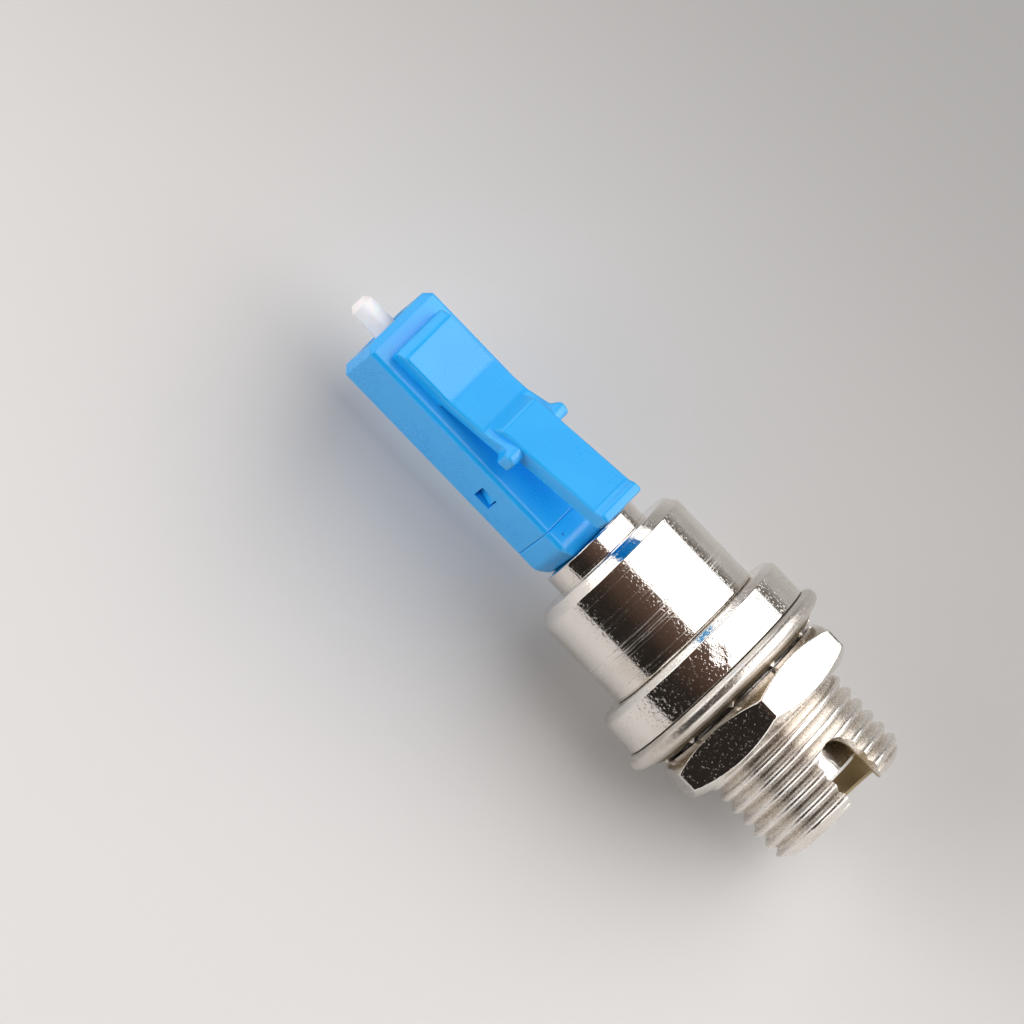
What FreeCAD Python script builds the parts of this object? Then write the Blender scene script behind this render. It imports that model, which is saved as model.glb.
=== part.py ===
# Hybrid fibre adapter: a threaded socket for one kind of fibre plug at one end,
# a small square plug with a latch at the other end.
# Millimetres. X runs along the light path, from the plug (-X) to the socket (+X). Z is up, on the latch side.
# The origin is on the axis, in the flange face that seats on a panel.

import math
import os

import FreeCAD
import Part
import Sketcher

SIZES = {
    # Receptacle body
    "flange_diameter": 11.0,
    "flange_thickness": 2.14,
    "flange_chamfer": 0.32,
    "thread_diameter": 8.0,
    "thread_length": 8.7,
    "thread_pitch": 0.75,
    "thread_depth": 0.4,
    "thread_relief": 1.5,
    "thread_chamfer_length": 0.5,
    "thread_chamfer_depth": 0.65,
    "socket_wall": 0.975,
    "socket_depth": 7.0,
    "socket_chamfer": 0.15,
    "keyway_width": 2.15,
    "keyway_length": 3.0,
    "seat_wall": 1.3,
    # Rear barrel
    "spigot_diameter": 6.56,
    "spigot_clearance": 0.02,
    "barrel_diameter": 8.65,
    "barrel_chamfer_length": 0.56,
    "barrel_chamfer_depth": 0.45,
    "barrel_back_wall": 0.75,
    "neck_diameter": 5.35,
    "neck_length": 1.02,
    "stem_diameter": 2.6,
    "stem_length": 5.35,
    "stem_bore": 0.9,
    # Sleeve holder
    "holder_diameter": 4.4,
    "holder_clearance": 0.02,
    "holder_flange_clearance": 0.08,
    "holder_flange_thickness": 1.0,
    "holder_recess": 1.4,
    "holder_chamfer": 0.15,
    "mouth_clearance": 0.2,
    "mouth_lip": 0.45,
    "mouth_chamfer": 0.1,
    # Split sleeve, stub and stub holder
    "sleeve_bore": 2.5,
    "sleeve_wall": 0.35,
    "sleeve_length": 11.4,
    "sleeve_slot": 0.5,
    "sleeve_clearance": 0.05,
    "sleeve_end_gap": 0.05,
    "stub_clearance": 0.005,
    "stub_chamfer": 0.2,
    "stub_holder_diameter": 5.16,
    "stub_holder_clearance": 0.02,
    "stub_holder_length": 2.23,
    "stub_holder_floor": 0.75,
    # Fibre
    "fibre_diameter": 0.125,
    "fibre_clearance": 0.002,
    # Plug ferrule, its holder and its spring
    "ferrule_diameter": 1.25,
    "ferrule_length": 6.4,
    "ferrule_reach": 1.8,
    "ferrule_chamfer_length": 0.3,
    "ferrule_chamfer_depth": 0.22,
    "collar_diameter": 2.7,
    "collar_thickness": 0.9,
    "tail_diameter": 1.5,
    "tail_length": 2.6,
    "tail_bore": 0.4,
    "spring_wire": 0.25,
    "spring_tail_gap": 0.175,
    "spring_half_turns": 6,
    "spring_end_gap": 0.08,
    # Plug housing
    "plug_width": 4.45,
    "plug_length": 12.05,
    "plug_edge_radius": 0.28,
    "plug_nose_bevel": 0.34,
    "nose_bore": 3.0,
    "nose_depth": 2.4,
    "nose_wall": 0.7,
    "nose_wall_clearance": 0.08,
    "collar_clearance": 0.08,
    "window_length": 0.95,
    "window_height": 1.4,
    "window_setback": 2.6,
    "window_drop": 0.12,
    # Rear cap
    "cap_length": 1.7,
    "cap_bevel_length": 0.65,
    "cap_bevel_depth": 0.45,
    "insert_width": 3.36,
    "insert_length": 4.25,
    "insert_clearance": 0.03,
    "insert_end_gap": 0.6,
    "stem_clearance": 0.03,
    "snap_clearance": 0.08,
    "snap_sink": 0.15,
    "snap_ramp": 0.2,
    # Latch
    "root_start": 1.1,
    "root_wall": 0.83,
    "root_ramp": 0.5,
    "root_length": 3.3,
    "root_width": 3.2,
    "root_rise": 1.17,
    "latch_slit": 0.2,
    "arm_length": 2.15,
    "arm_climb": 0.47,
    "step_length": 0.5,
    "step_climb": 0.9,
    "trigger_length": 5.67,
    "trigger_climb": 1.31,
    "trigger_width": 2.44,
    "lip_length": 0.78,
    "lip_rise": 0.34,
    "lip_ramp": 0.3,
    "lip_corner": 0.22,
    "latch_under_climb": 2.42,
    "lug_rear": 4.25,
    "lug_length": 0.89,
    "lug_flare": 0.25,
    "lug_width": 3.94,
    "lug_top_drop": 0.08,
    "lug_bevel_length": 0.4,
    "lug_bevel_depth": 0.28,
    # Lock washer
    "washer_diameter": 11.85,
    "washer_ring_width": 1.1,
    "washer_thickness": 0.85,
    "washer_edge": 0.3,
    "washer_gap": 0.05,
    "washer_angle": -8.7,
    "cone_foot": 0.5,
    "cone_reach": 0.32,
    "cone_drop": 0.65,
    "cone_web": 0.3,
    "cone_lip": 0.15,
    "tooth_width": 1.05,
    "tooth_thickness": 0.3,
    "tooth_twist": 35.0,
    "tooth_lift": 0.52,
    "tooth_bite": 0.36,
    "tooth_clearance": 0.12,
    "tooth_count": 11,
    # Panel nut
    "nut_across_flats": 9.8,
    "nut_thickness": 2.2,
    "nut_face_inset": 0.25,
    "nut_chamfer_angle": 30.0,
    "nut_bore_chamfer": 0.25,
    "nut_gap": 0.03,
    "nut_clearance": 0.04,
    "nut_angle": 15.6,
}


class Size:
    """A number together with the spreadsheet expression that it comes from."""

    def __init__(self, value, text):
        self.value = value
        self.text = text

    @staticmethod
    def of(number):
        """A plain number as a size of its own."""
        if isinstance(number, Size):
            return number
        return Size(float(number), repr(number))

    def __add__(self, other):
        other = Size.of(other)
        return Size(self.value + other.value, f"({self.text} + {other.text})")

    def __sub__(self, other):
        other = Size.of(other)
        return Size(self.value - other.value, f"({self.text} - {other.text})")

    def __mul__(self, other):
        other = Size.of(other)
        return Size(self.value * other.value, f"({self.text} * {other.text})")

    def __truediv__(self, other):
        other = Size.of(other)
        return Size(self.value / other.value, f"({self.text} / {other.text})")

    def __neg__(self):
        return Size(-self.value, f"(0 - {self.text})")


doc = FreeCAD.newDocument("adapter")
sheet = doc.addObject("Spreadsheet::Sheet", "Sizes")
for row, (alias, number) in enumerate(SIZES.items(), start=1):
    sheet.set(f"A{row}", alias)
    sheet.set(f"B{row}", str(number))
    sheet.setAlias(f"B{row}", alias)
doc.recompute()

ZERO = Size(0.0, "0")
HEX_HALF_ANGLE = Size(30.0, "30")
NODES = []


def size(alias):
    """The named size, as a value and as an expression on the sheet."""
    return Size(float(sheet.get(alias)), f"Sizes.{alias}")


def trig(name, angle):
    """The sine, cosine or tangent of an angle in degrees, as a size."""
    ratio = getattr(math, name)(math.radians(angle.value))
    return Size(ratio, f"{name}({angle.text} * 1 deg)")


def bind(target, name, amount):
    """Tie a property to an expression on the sheet."""
    target.setExpression(name, amount.text)


def new_body(label, x):
    """A body of its own, placed along the axis."""
    body = doc.addObject("PartDesign::Body", label)
    body.Label = label
    bind(body, "Placement.Base.x", x)
    NODES.append(body)
    return body


def turn_about_x(body, angle):
    """Turn a body about the axis."""
    body.Placement.Rotation = FreeCAD.Rotation(FreeCAD.Vector(1, 0, 0), angle.value)
    bind(body, "Placement.Rotation.Angle", angle)


def origin_feature(body, role):
    """One of the body's own origin planes or axes."""
    return next(f for f in body.Origin.OriginFeatures if f.Role == role)


def new_sketch(body, name, plane):
    """An empty sketch on one of the body's origin planes."""
    sketch = body.newObject("Sketcher::SketchObject", name)
    sketch.AttachmentSupport = [(origin_feature(body, plane), "")]
    sketch.MapMode = "FlatFace"
    return sketch


def flat_point(point):
    """A pair of sizes as a point in a sketch."""
    return FreeCAD.Vector(point[0].value, point[1].value, 0)


def pin_start(sketch, line, point):
    """Hold the start of a line at two distances from the sketch's origin."""
    for kind, amount in zip(("DistanceX", "DistanceY"), point):
        index = sketch.addConstraint(Sketcher.Constraint(kind, -1, 1, line, 1, amount.value))
        sketch.setExpression(f"Constraints[{index}]", amount.text)


def outline(body, name, plane, *loops):
    """A sketch of one or more closed, straight-sided loops through the given corners."""
    sketch = new_sketch(body, name, plane)
    for corners in loops:
        first = sketch.GeometryCount
        following = corners[1:] + corners[:1]
        for start, end in zip(corners, following):
            sketch.addGeometry(Part.LineSegment(flat_point(start), flat_point(end)), False)
        for number, corner in enumerate(corners):
            after = (number + 1) % len(corners)
            sketch.addConstraint(Sketcher.Constraint("Coincident", first + number, 2, first + after, 1))
            pin_start(sketch, first + number, corner)
    return sketch


def box_corners(low, high):
    """The four corners of a rectangle from its lowest and highest corner."""
    return [low, (high[0], low[1]), high, (low[0], high[1])]


def turned(body, name, corners):
    """A solid of revolution about the axis, from the (along, radius) corners of its half section."""
    section = outline(body, f"{name}_section", "XZ_Plane", corners)
    feature = body.newObject("PartDesign::Revolution", name)
    feature.Profile = section
    feature.ReferenceAxis = (section, ["H_Axis"])
    feature.Angle = 360
    doc.recompute()


def pad(body, name, profile, length):
    """A solid of even thickness, half of it on each side of the sketch."""
    feature = body.newObject("PartDesign::Pad", name)
    feature.Profile = profile
    feature.SideType = "Symmetric"
    bind(feature, "Length", length)
    doc.recompute()


def cut(body, name, profile, length=None, **settings):
    """A pocket with the given settings, which must take something away."""
    doc.recompute()
    before = body.Shape.Volume
    feature = body.newObject("PartDesign::Pocket", name)
    feature.Profile = profile
    for setting, value in settings.items():
        setattr(feature, setting, value)
    if length:
        bind(feature, "Length", length)
    doc.recompute()
    if not body.Shape.Volume < before:
        raise RuntimeError(f"{name} takes nothing away")


def bore(body, name, start, end, radius):
    """A round hole on the axis, between two places along it."""
    sketch = new_sketch(body, f"{name}_outline", "YZ_Plane")
    bind(sketch, "AttachmentOffset.Base.z", end)
    sketch.addGeometry(Part.Circle(FreeCAD.Vector(), FreeCAD.Vector(0, 0, 1), radius.value), False)
    sketch.addConstraint(Sketcher.Constraint("Coincident", 0, 3, -1, 1))
    index = sketch.addConstraint(Sketcher.Constraint("Radius", 0, radius.value))
    sketch.setExpression(f"Constraints[{index}]", radius.text)
    cut(body, name, sketch, length=end - start)


def through_cut(body, name, profile):
    """A cut right through the body, both ways from the sketch."""
    cut(body, name, profile, SideType="Symmetric", Type="ThroughAll")


def upward_cut(body, name, profile):
    """A cut through the upper half of the body only."""
    cut(body, name, profile, SideType="One side", Type="ThroughAll", Reversed=True)


def round_long_edges(body, reach, radius):
    """Round the straight edges along X that lie at the reach from the axis in both Y and Z."""
    names = []
    for number, edge in enumerate(body.Tip.Shape.Edges, start=1):
        ends = [vertex.Point for vertex in edge.Vertexes]
        on_corner = all(math.isclose(abs(p.y), reach) and math.isclose(abs(p.z), reach) for p in ends)
        if on_corner and not math.isclose(ends[0].x, ends[-1].x):
            names.append(f"Edge{number}")
    base = body.Tip
    feature = body.newObject("PartDesign::Fillet", f"{body.Name}_edges")
    feature.Base = (base, names)
    bind(feature, "Radius", radius)
    doc.recompute()


def bevel_square_end(body, name, end, inner, depth):
    """Bevel the four sides of a square end, from its end face to a place further in."""
    for plane in ("XZ_Plane", "XY_Plane"):
        wedges = []
        for side in (1, -1):
            wedges.append([
                (end, (plug_half - depth) * side),
                (inner, plug_half * side),
                (end, (plug_half + depth) * side),
            ])
        through_cut(body, f"{name}_{plane}", outline(body, f"{name}_{plane}_outline", plane, *wedges))


# Places along the axis, from the flange's seat at zero
socket_floor = size("thread_length") - size("socket_depth")
holder_seat = socket_floor - size("seat_wall")
spigot_end = holder_seat - size("holder_flange_thickness")
flange_back = -size("flange_thickness")
holder_front = size("thread_length") - size("holder_recess")
sleeve_front = holder_front - size("mouth_lip") - size("sleeve_end_gap")
sleeve_back = sleeve_front - size("sleeve_length")
mating_plane = sleeve_front - size("sleeve_length") / 2
stub_holder_front = sleeve_back - size("sleeve_end_gap")
chamber_floor = stub_holder_front - size("stub_holder_length")
stub_back = chamber_floor + size("stub_holder_floor")
barrel_back = chamber_floor - size("barrel_back_wall")
neck_back = barrel_back - size("neck_length")
stem_end = neck_back - size("stem_length")
plug_back = neck_back - size("cap_length")
plug_front = plug_back - size("plug_length")
ferrule_tip = plug_front - size("ferrule_reach")
collar_seat = plug_front + size("nose_depth") + size("nose_wall")
insert_end = plug_back - size("insert_length")
window_back = plug_back - size("window_setback")
hinge_x = plug_front + size("root_start") + size("root_length")

# Radii and half widths that two pieces share
thread_radius = size("thread_diameter") / 2
spigot_radius = size("spigot_diameter") / 2
holder_radius = size("holder_diameter") / 2
sleeve_outside = size("sleeve_bore") / 2 + size("sleeve_wall")
stub_radius = size("sleeve_bore") / 2 - size("stub_clearance")
stub_holder_radius = size("stub_holder_diameter") / 2
stem_radius = size("stem_diameter") / 2
bore_radius = size("stem_bore") / 2
fibre_hole = size("fibre_diameter") / 2 + size("fibre_clearance")
ferrule_radius = size("ferrule_diameter") / 2
collar_radius = size("collar_diameter") / 2
tail_radius = size("tail_diameter") / 2
plug_half = size("plug_width") / 2
insert_half = size("insert_width") / 2


def make_receptacle_body():
    """Flange and threaded sleeve in one, with a stepped bore and a keyway on the latch side."""
    body = new_body("receptacle_body", flange_back)
    total = size("flange_thickness") + size("thread_length")
    floor = socket_floor - flange_back
    seat = holder_seat - flange_back
    flange_radius = size("flange_diameter") / 2
    socket_radius = thread_radius - size("socket_wall")
    counterbore = spigot_radius + size("spigot_clearance")
    passage = holder_radius + size("holder_clearance")
    turned(body, "receptacle_turning", [
        (ZERO, counterbore),
        (ZERO, flange_radius - size("flange_chamfer")),
        (size("flange_chamfer"), flange_radius),
        (size("flange_thickness"), flange_radius),
        *thread_corners(size("flange_thickness"), total - size("thread_chamfer_length")),
        (total, thread_radius - size("thread_chamfer_depth")),
        (total, socket_radius + size("socket_chamfer")),
        (total - size("socket_chamfer"), socket_radius),
        (floor, socket_radius),
        (floor, passage),
        (seat, passage),
        (seat, counterbore),
    ])
    upward_cut(body, "keyway", keyway_outline(body, total))


def thread_corners(start, end):
    """A relief, then a row of V grooves at the thread's pitch that stand in for its helix."""
    pitch = size("thread_pitch")
    root = thread_radius - size("thread_depth")
    first_crest = start + size("thread_relief") + pitch / 2
    corners = [(start, root)]
    for number in range(int((end - first_crest).value / pitch.value), -1, -1):
        crest = end - pitch * number
        corners.append((crest - pitch / 2, root))
        corners.append((crest, thread_radius))
    return corners


def keyway_outline(body, total):
    """The keyway from above: straight sides and the round end that an end mill leaves."""
    sketch = new_sketch(body, "keyway_outline", "XY_Plane")
    half = size("keyway_width") / 2
    centre = total - size("keyway_length") + half
    mouth = total + half
    corners = [(centre, -half), (mouth, -half), (mouth, half), (centre, half)]
    for start, end in zip(corners, corners[1:]):
        sketch.addGeometry(Part.LineSegment(flat_point(start), flat_point(end)), False)
    circle = Part.Circle(flat_point((centre, ZERO)), FreeCAD.Vector(0, 0, 1), half.value)
    sketch.addGeometry(Part.ArcOfCircle(circle, math.pi / 2, 3 * math.pi / 2), False)
    for line in (0, 1, 2):
        pin_start(sketch, line, corners[line])
    for line in (0, 1):
        sketch.addConstraint(Sketcher.Constraint("Coincident", line, 2, line + 1, 1))
    sketch.addConstraint(Sketcher.Constraint("Horizontal", 2))
    sketch.addConstraint(Sketcher.Constraint("Tangent", 2, 2, 3, 1))
    sketch.addConstraint(Sketcher.Constraint("Tangent", 3, 2, 0, 1))
    return sketch


def make_rear_barrel():
    """Spigot, barrel, neck and the stem that carries the plug, turned in one."""
    body = new_body("rear_barrel", stem_end)
    neck = size("stem_length")
    barrel = neck + size("neck_length")
    shoulder = flange_back - stem_end
    end = spigot_end - stem_end
    floor = chamber_floor - stem_end
    neck_radius = size("neck_diameter") / 2
    barrel_radius = size("barrel_diameter") / 2
    chamber = stub_holder_radius + size("stub_holder_clearance")
    turned(body, "barrel_turning", [
        (ZERO, bore_radius),
        (ZERO, stem_radius),
        (neck, stem_radius),
        (neck, neck_radius),
        (barrel, neck_radius),
        (barrel, barrel_radius - size("barrel_chamfer_depth")),
        (barrel + size("barrel_chamfer_length"), barrel_radius),
        (shoulder, barrel_radius),
        (shoulder, spigot_radius),
        (end, spigot_radius),
        (end, chamber),
        (floor, chamber),
        (floor, bore_radius),
    ])


def make_sleeve_holder():
    """The tube inside the socket, with a lip at its mouth and a flange behind the seat wall."""
    body = new_body("sleeve_holder", spigot_end)
    length = holder_front - spigot_end
    lip = length - size("mouth_lip")
    chamber = sleeve_outside + size("sleeve_clearance")
    mouth = size("sleeve_bore") / 2 + size("mouth_clearance")
    flange_radius = spigot_radius - size("holder_flange_clearance")
    turned(body, "holder_turning", [
        (ZERO, chamber),
        (ZERO, flange_radius),
        (size("holder_flange_thickness"), flange_radius),
        (size("holder_flange_thickness"), holder_radius),
        (length - size("holder_chamfer"), holder_radius),
        (length, holder_radius - size("holder_chamfer")),
        (length, mouth + size("mouth_chamfer")),
        (length - size("mouth_chamfer"), mouth),
        (lip, mouth),
        (lip, chamber),
    ])


def make_split_sleeve():
    """A ceramic tube with one slot along it, so that it springs on the two ferrules."""
    body = new_body("split_sleeve", sleeve_back)
    length = size("sleeve_length")
    half = size("sleeve_slot") / 2
    turned(body, "sleeve_turning", box_corners((ZERO, size("sleeve_bore") / 2), (length, sleeve_outside)))
    slot = outline(body, "slot_outline", "XY_Plane", box_corners((-half, -half), (length + half, half)))
    upward_cut(body, "slot", slot)


def make_socket_stub():
    """The ceramic ferrule in the back half of the sleeve, with a chamfered nose."""
    body = new_body("socket_stub", stub_back)
    length = mating_plane - stub_back
    chamfer = size("stub_chamfer")
    turned(body, "stub_turning", [
        (ZERO, fibre_hole),
        (ZERO, stub_radius),
        (length - chamfer, stub_radius),
        (length, stub_radius - chamfer),
        (length, fibre_hole),
    ])


def make_stub_holder():
    """The ring at the bottom of the barrel that the stub is pressed into."""
    body = new_body("stub_holder", chamber_floor)
    length = size("stub_holder_length")
    floor = size("stub_holder_floor")
    turned(body, "stub_holder_turning", [
        (ZERO, bore_radius),
        (ZERO, stub_holder_radius),
        (length, stub_holder_radius),
        (length, stub_radius),
        (floor, stub_radius),
        (floor, bore_radius),
    ])


def along_x(feature, x):
    """Turn a feature that is made along Z to lie along X, and start it at x."""
    feature.Placement = FreeCAD.Placement(FreeCAD.Vector(), FreeCAD.Rotation(FreeCAD.Vector(0, 1, 0), 90))
    bind(feature, "Placement.Base.x", x)


def make_fibre():
    """The bare fibre from the plug ferrule's tip to the mating plane in the socket."""
    fibre = doc.addObject("Part::Cylinder", "fibre")
    fibre.Label = "fibre"
    along_x(fibre, ferrule_tip)
    bind(fibre, "Radius", size("fibre_diameter") / 2)
    bind(fibre, "Height", mating_plane - ferrule_tip)
    NODES.append(fibre)


def make_plug_ferrule():
    """The ceramic pin that stands out of the plug, with a chamfered tip."""
    body = new_body("plug_ferrule", ferrule_tip)
    length = size("ferrule_length")
    turned(body, "ferrule_turning", [
        (ZERO, fibre_hole),
        (ZERO, ferrule_radius - size("ferrule_chamfer_depth")),
        (size("ferrule_chamfer_length"), ferrule_radius),
        (length, ferrule_radius),
        (length, fibre_hole),
    ])


def make_ferrule_holder():
    """The metal collar that rests on the plug's inner wall, with a tail through the spring."""
    body = new_body("ferrule_holder", collar_seat)
    collar = size("collar_thickness")
    end = collar + size("tail_length")
    grip = ferrule_tip + size("ferrule_length") - collar_seat
    tail_hole = size("tail_bore") / 2
    turned(body, "ferrule_holder_turning", [
        (ZERO, ferrule_radius),
        (ZERO, collar_radius),
        (collar, collar_radius),
        (collar, tail_radius),
        (end, tail_radius),
        (end, tail_hole),
        (grip, tail_hole),
        (grip, ferrule_radius),
    ])


def make_ferrule_spring():
    """A coil spring of square wire: half rings, each tilted so that its ends meet the next."""
    half_wire = size("spring_wire").value / 2
    inset = size("spring_end_gap").value + half_wire
    start = (collar_seat + size("collar_thickness")).value + inset
    height = stem_end.value - inset - start
    coil_radius = tail_radius.value + size("spring_tail_gap").value + half_wire
    half_turns = int(size("spring_half_turns").value)
    rise = height / half_turns
    tilt = math.degrees(math.asin(rise / (2 * coil_radius)))
    origin = FreeCAD.Vector()
    outward = FreeCAD.Vector(1, 0, 0)
    ring_axis = FreeCAD.Vector(0, 0, 1)
    wire_corner = FreeCAD.Vector(coil_radius - half_wire, 0, -half_wire)
    facing = ring_axis.cross(outward)
    wire_section = Part.makePlane(2 * half_wire, 2 * half_wire, wire_corner, -facing, outward)
    half_ring = wire_section.revolve(origin, ring_axis, 180)
    rings = []
    for number in range(half_turns):
        odd = number % 2
        ring = half_ring.copy()
        ring.rotate(origin, ring_axis, 180 * odd)
        ring.rotate(origin, facing, 90 - tilt if odd else 90 + tilt)
        ring.translate(outward * (start + rise * (number + 0.5)))
        rings.append(ring)
    spring = doc.addObject("Part::Feature", "ferrule_spring")
    spring.Label = "ferrule_spring"
    spring.Shape = rings[0].multiFuse(rings[1:])
    NODES.append(spring)


def make_plug_housing():
    """The square moulded plug: latch root, nose bore, spring chamber, square back and side windows."""
    body = new_body("plug_housing", plug_front)
    length = size("plug_length")
    block = outline(body, "plug_outline", "XZ_Plane", box_corners((ZERO, -plug_half), (length, plug_half)))
    pad(body, "plug_block", block, size("plug_width"))
    round_long_edges(body, plug_half.value, size("plug_edge_radius"))
    bevel_square_end(body, "nose_bevel", ZERO, size("plug_nose_bevel"), size("plug_nose_bevel"))
    root_foot = plug_half - size("plug_edge_radius")
    root_top = plug_half + size("root_rise")
    root_front = size("root_start")
    root_back = hinge_x - plug_front
    root = outline(body, "latch_root_outline", "XZ_Plane", [
        (root_front, root_foot),
        (root_back, root_foot),
        (root_back, root_top),
        (root_front + size("root_ramp"), root_top),
        (root_front, plug_half + size("root_wall")),
    ])
    pad(body, "latch_root", root, size("root_width"))
    seat = collar_seat - plug_front
    cavity_end = insert_end - size("insert_end_gap") - plug_front
    wall_hole = ferrule_radius + size("nose_wall_clearance")
    chamber = collar_radius + size("collar_clearance")
    bore(body, "nose_cavity", ZERO, size("nose_depth"), size("nose_bore") / 2)
    bore(body, "nose_wall_hole", size("nose_depth"), seat, wall_hole)
    bore(body, "spring_chamber", seat, length, chamber)
    cavity_half = insert_half + size("insert_clearance")
    back_corners = box_corners((cavity_end, -cavity_half), (length, cavity_half))
    back_outline = outline(body, "back_cavity_outline", "XZ_Plane", back_corners)
    cut(body, "back_cavity", back_outline, length=cavity_half * 2, SideType="Symmetric")
    window_end = window_back - plug_front
    low = (window_end - size("window_length"), -size("window_height") / 2 - size("window_drop"))
    high = (window_end, size("window_height") / 2 - size("window_drop"))
    through_cut(body, "side_windows", outline(body, "window_outline", "XZ_Plane", box_corners(low, high)))


def make_rear_cap():
    """The cap behind the plug, with a square insert whose ramped lugs snap into the side windows."""
    body = new_body("rear_cap", insert_end)
    insert = size("insert_length")
    total = insert + size("cap_length")
    cap = outline(body, "cap_outline", "XZ_Plane", box_corners((insert, -plug_half), (total, plug_half)))
    pad(body, "cap_block", cap, size("plug_width"))
    round_long_edges(body, plug_half.value, size("plug_edge_radius"))
    bevel_square_end(body, "cap_bevel", total, total - size("cap_bevel_length"), size("cap_bevel_depth"))
    insert_corners = box_corners((ZERO, -insert_half), (insert, insert_half))
    pad(body, "insert", outline(body, "insert_outline", "XZ_Plane", insert_corners), size("insert_width"))
    lug_back = window_back - insert_end - size("snap_clearance")
    lug_front = lug_back - size("window_length") + size("snap_clearance") * 2
    lug_reach = plug_half - size("snap_sink")
    lug_nose = lug_reach - size("snap_ramp")
    lugs = outline(body, "snap_outline", "XY_Plane", [
        (lug_front, -lug_nose),
        (lug_back, -lug_reach),
        (lug_back, lug_reach),
        (lug_front, lug_nose),
    ])
    bind(lugs, "AttachmentOffset.Base.z", -size("window_drop"))
    pad(body, "snap_lugs", lugs, size("window_height") - size("snap_clearance") * 2)
    bore(body, "stem_hole", ZERO, total, stem_radius + size("stem_clearance"))


def make_latch_lever():
    """The bending lever: a wide arm with two lugs, then a narrower trigger with a lip at its end."""
    body = new_body("latch_lever", hinge_x)
    bind(body, "Placement.Base.z", plug_half + size("latch_slit"))
    root = size("root_rise") - size("latch_slit")
    arm_end = size("arm_length")
    arm_top = root + size("arm_climb")
    step_end = arm_end + size("step_length")
    step_top = arm_top + size("step_climb")
    lip_start = step_end + size("trigger_length")
    trigger_top = step_top + size("trigger_climb")
    end = lip_start + size("lip_length")
    lip_top = trigger_top + size("lip_rise")
    under_slope = size("latch_under_climb") / end
    top_slope = size("trigger_climb") / size("trigger_length")
    lug_rear = size("lug_rear")
    lug_bevel = lug_rear - size("lug_bevel_length")
    lug_top = step_top + top_slope * (lug_bevel - step_end) - size("lug_top_drop")
    arm = outline(body, "arm_outline", "XZ_Plane", [
        (ZERO, ZERO),
        (lug_rear, under_slope * lug_rear),
        (lug_rear, lug_top - size("lug_bevel_depth")),
        (lug_bevel, lug_top),
        (arm_end, arm_top),
        (ZERO, root),
    ])
    pad(body, "arm", arm, size("lug_width"))
    narrow = size("root_width") / 2
    wide = size("lug_width") / 2
    beyond = wide + size("lug_flare")
    flare_start = lug_rear - size("lug_length")
    flare_end = flare_start + size("lug_flare")
    for name, side in (("near_side", -1), ("far_side", 1)):
        waste = outline(body, f"{name}_outline", "XY_Plane", [
            (-beyond, narrow * side),
            (flare_start, narrow * side),
            (flare_end, wide * side),
            (flare_end, beyond * side),
            (-beyond, beyond * side),
        ])
        through_cut(body, name, waste)
    corner = size("lip_corner")
    middle = arm_end / 2
    trigger = outline(body, "trigger_outline", "XZ_Plane", [
        (middle, under_slope * middle),
        (end - corner, under_slope * (end - corner)),
        (end, under_slope * end + corner),
        (end, lip_top - corner),
        (end - corner, lip_top),
        (lip_start + size("lip_ramp"), lip_top),
        (lip_start, trigger_top),
        (step_end, step_top),
        (arm_end, arm_top),
        (middle, root + size("arm_climb") / 2),
    ])
    pad(body, "trigger", trigger, size("trigger_width"))


twist_sine = trig("sin", size("tooth_twist"))
twist_cosine = trig("cos", size("tooth_twist"))
tooth_span = size("tooth_width") * twist_sine + size("tooth_thickness") * twist_cosine
tooth_middle = size("washer_thickness") / 2 + size("tooth_lift")


def make_lock_washer():
    """A ring with a cone inside it, and twisted teeth on the cone that bite on the nut."""
    body = new_body("lock_washer", size("washer_gap"))
    turn_about_x(body, size("washer_angle"))
    outside = size("washer_diameter") / 2
    inside = outside - size("washer_ring_width")
    thickness = size("washer_thickness")
    edge = size("washer_edge")
    cone_top = outside - size("cone_foot") - size("cone_drop")
    cone_tip = cone_top - size("cone_web")
    cone_end = thickness + size("cone_reach")
    turned(body, "washer_ring", [
        (ZERO, inside),
        (ZERO, outside - edge),
        (edge, outside),
        (thickness - edge, outside),
        (thickness, outside - edge),
        (thickness, outside - size("cone_foot")),
        (cone_end, cone_top),
        (cone_end + size("cone_lip"), cone_tip),
        (thickness / 2, inside),
    ])
    half_width = size("tooth_width") / 2
    half_thickness = size("tooth_thickness") / 2
    tooth_tip = thread_radius + size("tooth_clearance")
    tooth_length = cone_tip + size("tooth_bite") - tooth_tip
    corners = box_corners((-half_thickness, -half_width), (half_thickness, half_width))
    tooth_outline = outline(body, "tooth_outline", "XY_Plane", corners)
    bind(tooth_outline, "AttachmentOffset.Base.x", tooth_middle)
    bind(tooth_outline, "AttachmentOffset.Base.z", tooth_tip + tooth_length / 2)
    bind(tooth_outline, "AttachmentOffset.Rotation.Angle", size("tooth_twist"))
    pad(body, "tooth", tooth_outline, tooth_length)
    teeth = body.newObject("PartDesign::PolarPattern", "teeth")
    teeth.Originals = [doc.getObject("tooth")]
    teeth.Axis = (origin_feature(body, "X_Axis"), [""])
    teeth.Angle = 360
    bind(teeth, "Occurrences", size("tooth_count"))
    body.Tip = teeth
    doc.recompute()


def hexagon(across_flats):
    """Corners of a hexagon with one corner straight up."""
    half = across_flats / 2
    corner = half / trig("cos", HEX_HALF_ANGLE)
    low = -corner / 2
    high = corner / 2
    return [(ZERO, corner), (-half, high), (-half, low), (ZERO, -corner), (half, low), (half, high)]


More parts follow.
